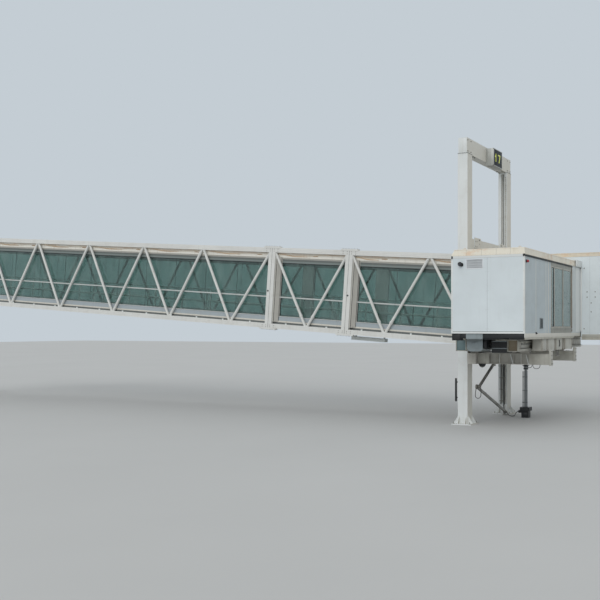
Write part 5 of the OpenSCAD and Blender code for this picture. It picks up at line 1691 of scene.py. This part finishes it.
@dataclass
class Cab(Part):
    """The docking cab: walls, roof, bumper frame and folding canopy."""

    x0: float = 0.24
    x1: float = 4.6
    y0: float = 5.14
    y1: float = 8.04
    hood_x: float = 4.752
    hood_deep: float = 0.376
    hood_low: float = 3.3
    hood_top: float = 5.985
    hood_half: float = 1.29
    hood_bend: float = 0.28
    body: ClassVar[Body] = Body.CAB

    def build(self) -> None:
        """Dresses the nodes and adds the fine pieces."""
        f = self.finish
        self.dress(f.slab, "cab_floor")
        self.dress(f.cab_wall, "cab_near_wall", "cab_far_wall", "cab_rear_wall")
        self.dress(f.cab_roof, "cab_roof")
        self.dress(f.pane, "cab_glass")
        self.dress(f.rubber, "cab_front_frame")
        self.walls()
        self.roof()
        self.window()
        self.bumper()
        self.canopy()
        self.under()

    def walls(self) -> None:
        """Corner covers, bottom rails, studs and the hood's lips."""
        f, x0, x1, y0, y1 = self.finish, self.x0, self.x1, self.y0, self.y1
        trim = [around(x, y, 0.027, 0.027, 3.01, 6.05) for x in (x0 + 0.023, x1 - 0.023)
                for y in (y0 + 0.023, y1 - 0.023)]
        trim = [row[:6] for row in trim]
        trim += [(2.87, y0 - 0.006, 2.975, x1, y0 + 0.03, 3.09), (x0, y1 - 0.03, 2.975, x1, y1 + 0.006, 3.09),
                 (x0 - 0.006, y0, 2.975, x0 + 0.03, y1, 3.09)]
        self.blocks("cab_corner_trims", f.boxes, Slot.CREAM, trim, 0.006)
        levels = (3.3, 4.5, 5.6)
        near = grid((3.06, 3.36), y0, (4.5, 4.7)) + grid(3.21, y0, (3.94, 4.28)) + grid((2.95, 4.3), y0, (3.3, 5.6))
        for name, spots, turn in (("cab_wall_studs", near, TO_NEAR),
                                  ("cab_far_studs", grid((0.5, 1.5, 2.5), y1, levels), TO_FAR),
                                  ("cab_rear_studs", grid(x0, (5.3, 5.86, 7.32, 7.88), levels), TO_REAR)):
            self.knobs(name, spots, 0.022, 0.008, f.steel, Slot.METAL, turn)
        ribs = grid(x0 - 0.001, (6.1, 7.08), 4.56)
        self.bars("cab_rear_ribs", ribs, (0.008, 0.04, 2.94), f.cab_wall, Slot.PALE)
        self.blocks("hood_lips", f.white, Slot.CREAM, (
            (2.858, 4.24, 5.622, 2.864, 5.142, 5.864), (2.832, 4.235, 5.622, 2.864, 4.243, 5.864),
            (2.808, 5.1, 3.2, 2.872, 5.143, 5.6, 0.004), (2.6, 4.236, 5.842, 2.864, 4.246, 5.872, 0.003)), 0.002)

    def roof(self) -> None:
        """Edge beads, seams and lifting eyes on the cab's roof."""
        f, x0, x1, y0, y1 = self.finish, self.x0, self.x1, self.y0, self.y1
        self.blocks("cab_roof_beads", f.cab_roof, Slot.CREAM, (
            (x0 - 0.006, y0 - 0.012, 6.045, x1 + 0.002, y0 + 0.01, 6.075, 0.005),
            (x0 - 0.006, y0 - 0.01, 6.165, x1 + 0.002, y0 + 0.02, 6.196),
            (x0 - 0.006, y1 - 0.01, 6.045, x1 + 0.002, y1 + 0.012, 6.075, 0.005),
            (x0 - 0.01, y0, 6.165, x0 + 0.02, y1, 6.196)), 0.006)
        self.bars("cab_roof_seams", grid(steps(0.72, 0.61, 7), (y0 + y1) / 2, 6.196), (0.03, 2.8, 0.022), f.cab_roof,
                  Slot.CREAM)
        eyes = self.make()
        for spot in grid((0.5, 4.3), (5.4, 7.8), 6.225):
            eyes.ring(spot, 0.03, 0.009, 16, (0.0, 1.0, 0.0))
        eyes.piece("cab_lifting_eyes", f.steel, Slot.METAL)

    def window(self) -> None:
        """Frame and gasket of the window in the far wall."""
        f = self.finish
        self.blocks("cab_window_frame", f.boxes, Slot.GREY, rim((3.06, 7.95, 4.11), (4.14, 8.05, 5.19), 0.06), 0.006)
        self.blocks("cab_window_gasket", f.gasket, Slot.SEAL, rim((3.115, 7.975, 4.165), (4.085, 8.052, 5.135), 0.018),
                    smooth=False)

    def bumper(self) -> None:
        """The canopy's fixing strips and the round bumper roll at the floor's edge."""
        f = self.finish
        self.blocks("canopy_fixing_strips", f.sheet, Slot.GREY, (
            (4.735, 5.35, 3.16, 4.762, 5.4, 5.46), (4.735, 7.78, 3.16, 4.762, 7.83, 5.46),
            (4.735, 5.36, 5.44, 4.762, 7.83, 5.47)), 0.005)
        self.bolts("canopy_strip_bolts", grid(4.762, (5.365, 7.815), steps(3.4, 0.3, 7)), 0.01, turn=TO_FRONT)
        roll = self.make().tube([(4.93, 5.3 + 2.58 * k / 14, 3.19) for k in range(15)], 0.068, 20)
        pad = roll.dome((4.93, 5.3, 3.19), 0.068).dome((4.93, 7.88, 3.19), 0.068)
        pad.piece("floor_edge_bumper", f.rubber, Slot.SEAL)
        brackets = grid(4.82, steps(5.42, 0.47, 6), 3.19)
        self.bars("bumper_brackets", brackets, (0.16, 0.05, 0.08), f.steel, Slot.METAL)

    def hood_row(self, x: float, reach: float, sag: float) -> list[Point]:
        """One section of the hood: up one side, over the top and down the other.

        Args:
            x: where the section lies.
            reach: how far it stands outside the hood's plain outline.
            sag: how far the top hangs down in the middle.

        Returns:
            The section's points.
        """
        middle, bend, low = (self.y0 + self.y1) / 2, self.hood_bend, self.hood_low
        wide, tall = self.hood_half + reach, self.hood_top + reach
        rise, turns = tall - bend - low, [math.pi / 2 * k / 8 for k in range(1, 9)]
        row = [(x, middle - wide, low + rise * k / 12) for k in range(13)]
        row += [(x, middle - wide + bend * (1 - math.cos(a)), tall - bend * (1 - math.sin(a))) for a in turns]
        row += [(x, middle - (wide - bend) * (1 - 2 * k / 16), tall - sag * math.sin(math.pi * k / 16))
                for k in range(1, 17)]
        row += [(x, middle + wide - bend * (1 - math.sin(a)), tall - bend * (1 - math.cos(a))) for a in turns]
        return row + [(x, middle + wide, tall - bend - rise * k / 12) for k in range(1, 13)]

    def canopy(self) -> None:
        """The folding canopy: a ribbed hood of coated fabric round the opening."""
        f, middle, per_fold, count, rows = self.finish, (self.y0 + self.y1) / 2, 8, 24, []
        for i in range(count + 1):
            phase = (i % per_fold) / per_fold
            puff = math.sin(math.pi * phase) ** 0.6 if phase > 0.0 else 0.0
            reach = 0.085 * puff - (i // per_fold) * 0.02
            rows.append(self.hood_row(self.hood_x + self.hood_deep * i / count, reach, 0.02 * (1.0 - puff)))
        hood = self.make().loft(rows, closed=False, caps=False).piece("folding_canopy", f.fabric, Slot.CANOPY)
        shell = hood.modifiers.new("thickness", "SOLIDIFY")
        shell.thickness, shell.offset = 0.006, 0.0
        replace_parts(hood, "cab_canopy")
        hoops = self.make()
        for row in rows[::per_fold]:
            hoops.tube([(x, middle + (y - middle) * 0.985, 3.3 + (z - 3.3) * 0.995) for x, y, z in row], 0.012, 8)
        hoops.piece("canopy_hoops", f.steel, Slot.METAL)
        self.blocks("canopy_bottom_hems", f.rubber, Slot.CANOPY,
                    [(4.75, y - 0.05, 3.285, 5.11, y + 0.05, 3.31)
                     for y in (middle - self.hood_half, middle + self.hood_half)], 0.006)

    def under(self) -> None:
        """Cross ribs under the cab, the floor's covering and the sill plate."""
        f = self.finish
        ribs = grid(3.7, steps(5.5, 0.5, 5), 2.945)
        self.bars("cab_floor_ribs", ribs, (1.7, 0.05, 0.06), f.frame_steel, Slot.GREY)
        self.blocks("cab_floor_covering", f.deck, Slot.GREY, [(2.87, 5.23, 3.148, 4.59, 7.95, 3.154)], 0.002)
        self.blocks("cab_sill_plate", f.steel, Slot.METAL, [(4.585, 5.4, 3.146, 4.75, 7.78, 3.158)], 0.003)


@dataclass
class CableArm(Part):
    """The folding cable arm and its hoses."""

    foot: Point = (0.245, 3.95, 0.142)
    elbow: Point = (0.245, 0.55, 1.265)
    top: Point = (0.325, 2.21, 2.0)

    def cords(self) -> None:
        """The free hoses: the elbow loop, the foot hose and two short loops."""
        self.cord("elbow_hose", [
            (0.198, 0.6, 1.205), (0.19, 0.595, 1.125), (0.183, 0.59, 1.05), (0.178, 0.585, 0.975), (0.19, 0.58, 0.915),
            (0.228, 0.575, 0.872), (0.285, 0.57, 0.86), (0.338, 0.565, 0.88), (0.375, 0.56, 0.93), (0.39, 0.555, 1.0),
            (0.394, 0.552, 1.08), (0.392, 0.55, 1.16), (0.379, 0.55, 1.235)], 0.011, Body.ARM_LOW, "medium", "hanging")
        self.cord("foot_hose", [
            (0.945, 3.33, 0.22), (0.9, 3.335, 0.21), (0.84, 3.36, 0.16), (0.78, 3.41, 0.08), (0.71, 3.47, 0.03),
            (0.62, 3.56, 0.014), (0.52, 3.68, 0.013), (0.44, 3.79, 0.02), (0.38, 3.86, 0.055), (0.34, 3.905, 0.095),
            (0.3, 3.937, 0.13)], 0.011, Body.PORTAL, "medium", "loose")
        self.cord("beam_cable_one", [
            (2.16, 0.02, 2.103), (2.162, 0.02, 2.06), (2.19, 0.02, 2.012), (2.25, 0.02, 1.995), (2.31, 0.02, 2.02),
            (2.332, 0.02, 2.065), (2.335, 0.02, 2.103)], 0.009, Body.LIFT, "limp", "hanging")
        self.cord("beam_cable_two", [
            (2.36, 0.03, 2.103), (2.362, 0.03, 2.05), (2.4, 0.03, 1.99), (2.48, 0.03, 1.965), (2.56, 0.03, 1.99),
            (2.598, 0.03, 2.05), (2.6, 0.03, 2.103)], 0.009, Body.LIFT, "limp", "hanging")

    @staticmethod
    def round_path(points: list[Point]) -> list[Point]:
        """Smooths a path by a curve through its points.

        Args:
            points: the path's points.

        Returns:
            The finer path.
        """
        spots = [Vector(p) for p in points]
        spots = [spots[0] * 2 - spots[1]] + spots + [spots[-1] * 2 - spots[-2]]
        path = []
        for a, b, c, d in zip(spots, spots[1:], spots[2:], spots[3:]):
            for t in (0.0, 0.25, 0.5, 0.75):
                path.append(tuple(0.5 * ((2 * b) + (c - a) * t + (2 * a - 5 * b + 4 * c - d) * t * t
                                         + (3 * b - a - 3 * c + d) * t * t * t)))
        return path + [tuple(spots[-2])]

    def cord(self, name: str, points: list[Point], radius: float, body: Body, stiff: str, lay: str) -> None:
        """Makes and declares one hose that goes back into the object.

        Args:
            name: the piece's name.
            points: the hose's path, from its exit to its far end.
            radius: its radius.
            body: the body that carries it.
            stiff: not used.
            lay: not used.
        """
        path = self.round_path(points)
        hose = Maker(body).tube(path, radius, 12).piece(name, self.finish.rubber, Slot.SEAL)

    def build(self) -> None:
        """Dresses the links and adds pins, hose runs and clamps."""
        f, (_, y, z), (_, foot_y, foot_z) = self.finish, self.elbow, self.foot
        self.dress(f.arm, "cable_arm_lower", "cable_arm_upper")
        self.side_run("lower", self.foot, self.elbow, 0.208, Body.ARM_LOW)
        self.side_run("upper", self.elbow, self.top, 0.362, Body.ARM_HIGH)
        cap = Maker(Body.PORTAL).rod((0.205, foot_y, foot_z), (0.213, foot_y, foot_z), 0.03, 20)
        cap.piece("arm_foot_pin_cap", f.steel, Slot.METAL)
        tip = Maker(Body.ARM_HIGH).rod((0.352, y, z), (0.366, y, z), 0.04, 20).rod((0.36, y, z), (0.398, y, z), 0.022)
        tip.piece("arm_elbow_cap", f.steel, Slot.METAL)
        glands = Maker(Body.ARM_LOW).rod((0.198, y + 0.05, z - 0.07), (0.198, y + 0.05, z - 0.03), 0.02, 14)
        glands.box(0.186, y + 0.015, z - 0.05, 0.216, y + 0.085, z - 0.01, 0.004)
        glands.piece("elbow_hose_glands", f.black, Slot.BLACK)
        foot = Maker(Body.PORTAL).rod((0.91, 3.333, 0.214), (0.955, 3.33, 0.22), 0.02, 14)
        foot.rod((0.285, 3.945, 0.134), (0.322, 3.92, 0.112), 0.02, 14).piece("foot_hose_glands", f.black, Slot.BLACK)

    def side_run(self, name: str, start: Point, end: Point, x: float, body: Body) -> None:
        """A hose clipped along one side of a link.

        Args:
            name: lower or upper.
            start: the link's first pivot.
            end: its other pivot.
            x: where the hose runs.
            body: the link's body.
        """
        a, b = Vector((x, start[1], start[2])), Vector((x, end[1], end[2]))
        way = (b - a).normalized()
        path = [a + way * d + Vector((0.0, 0.0, 0.008 * math.sin(d * 6.0)))
                for d in (0.12 + ((b - a).length - 0.3) * k / 20 for k in range(21))]
        Maker(body).tube(path, 0.009, 8).piece(f"arm_hose_{name}", self.finish.rubber, Slot.SEAL)
        inward = Vector((-0.0028 if x > 0.3 else 0.0028, 0.0, 0.0))
        clips = [tuple(spot + inward) for spot in (a + way * 0.3, a + way * 0.9, a + way * 1.5, b - way * 0.3)]
        self.bars(f"arm_clips_{name}", clips, (0.026, 0.04, 0.06), self.finish.steel, Slot.METAL,
                  (math.atan2(way.z, way.y), 0.0, 0.0), body)


def main() -> None:
    """Builds the bridge's sub-assemblies in order."""
    logging.basicConfig(level=logging.INFO, format="%(message)s")
    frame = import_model()
    Stage()
    finishes = Finishes()
    repeats = Repeats(finishes)
    arm = CableArm(frame, finishes, repeats)
    arm.cords()
    for part in (Portal, Walkway, LiftFrame, Gallery, Cab):
        LOG.info("building %s", part.__name__)
        part(frame, finishes, repeats).build()
    arm.build()
    bpy.context.scene.view_settings.view_transform = "Standard"


if __name__ == "__main__":
    main()
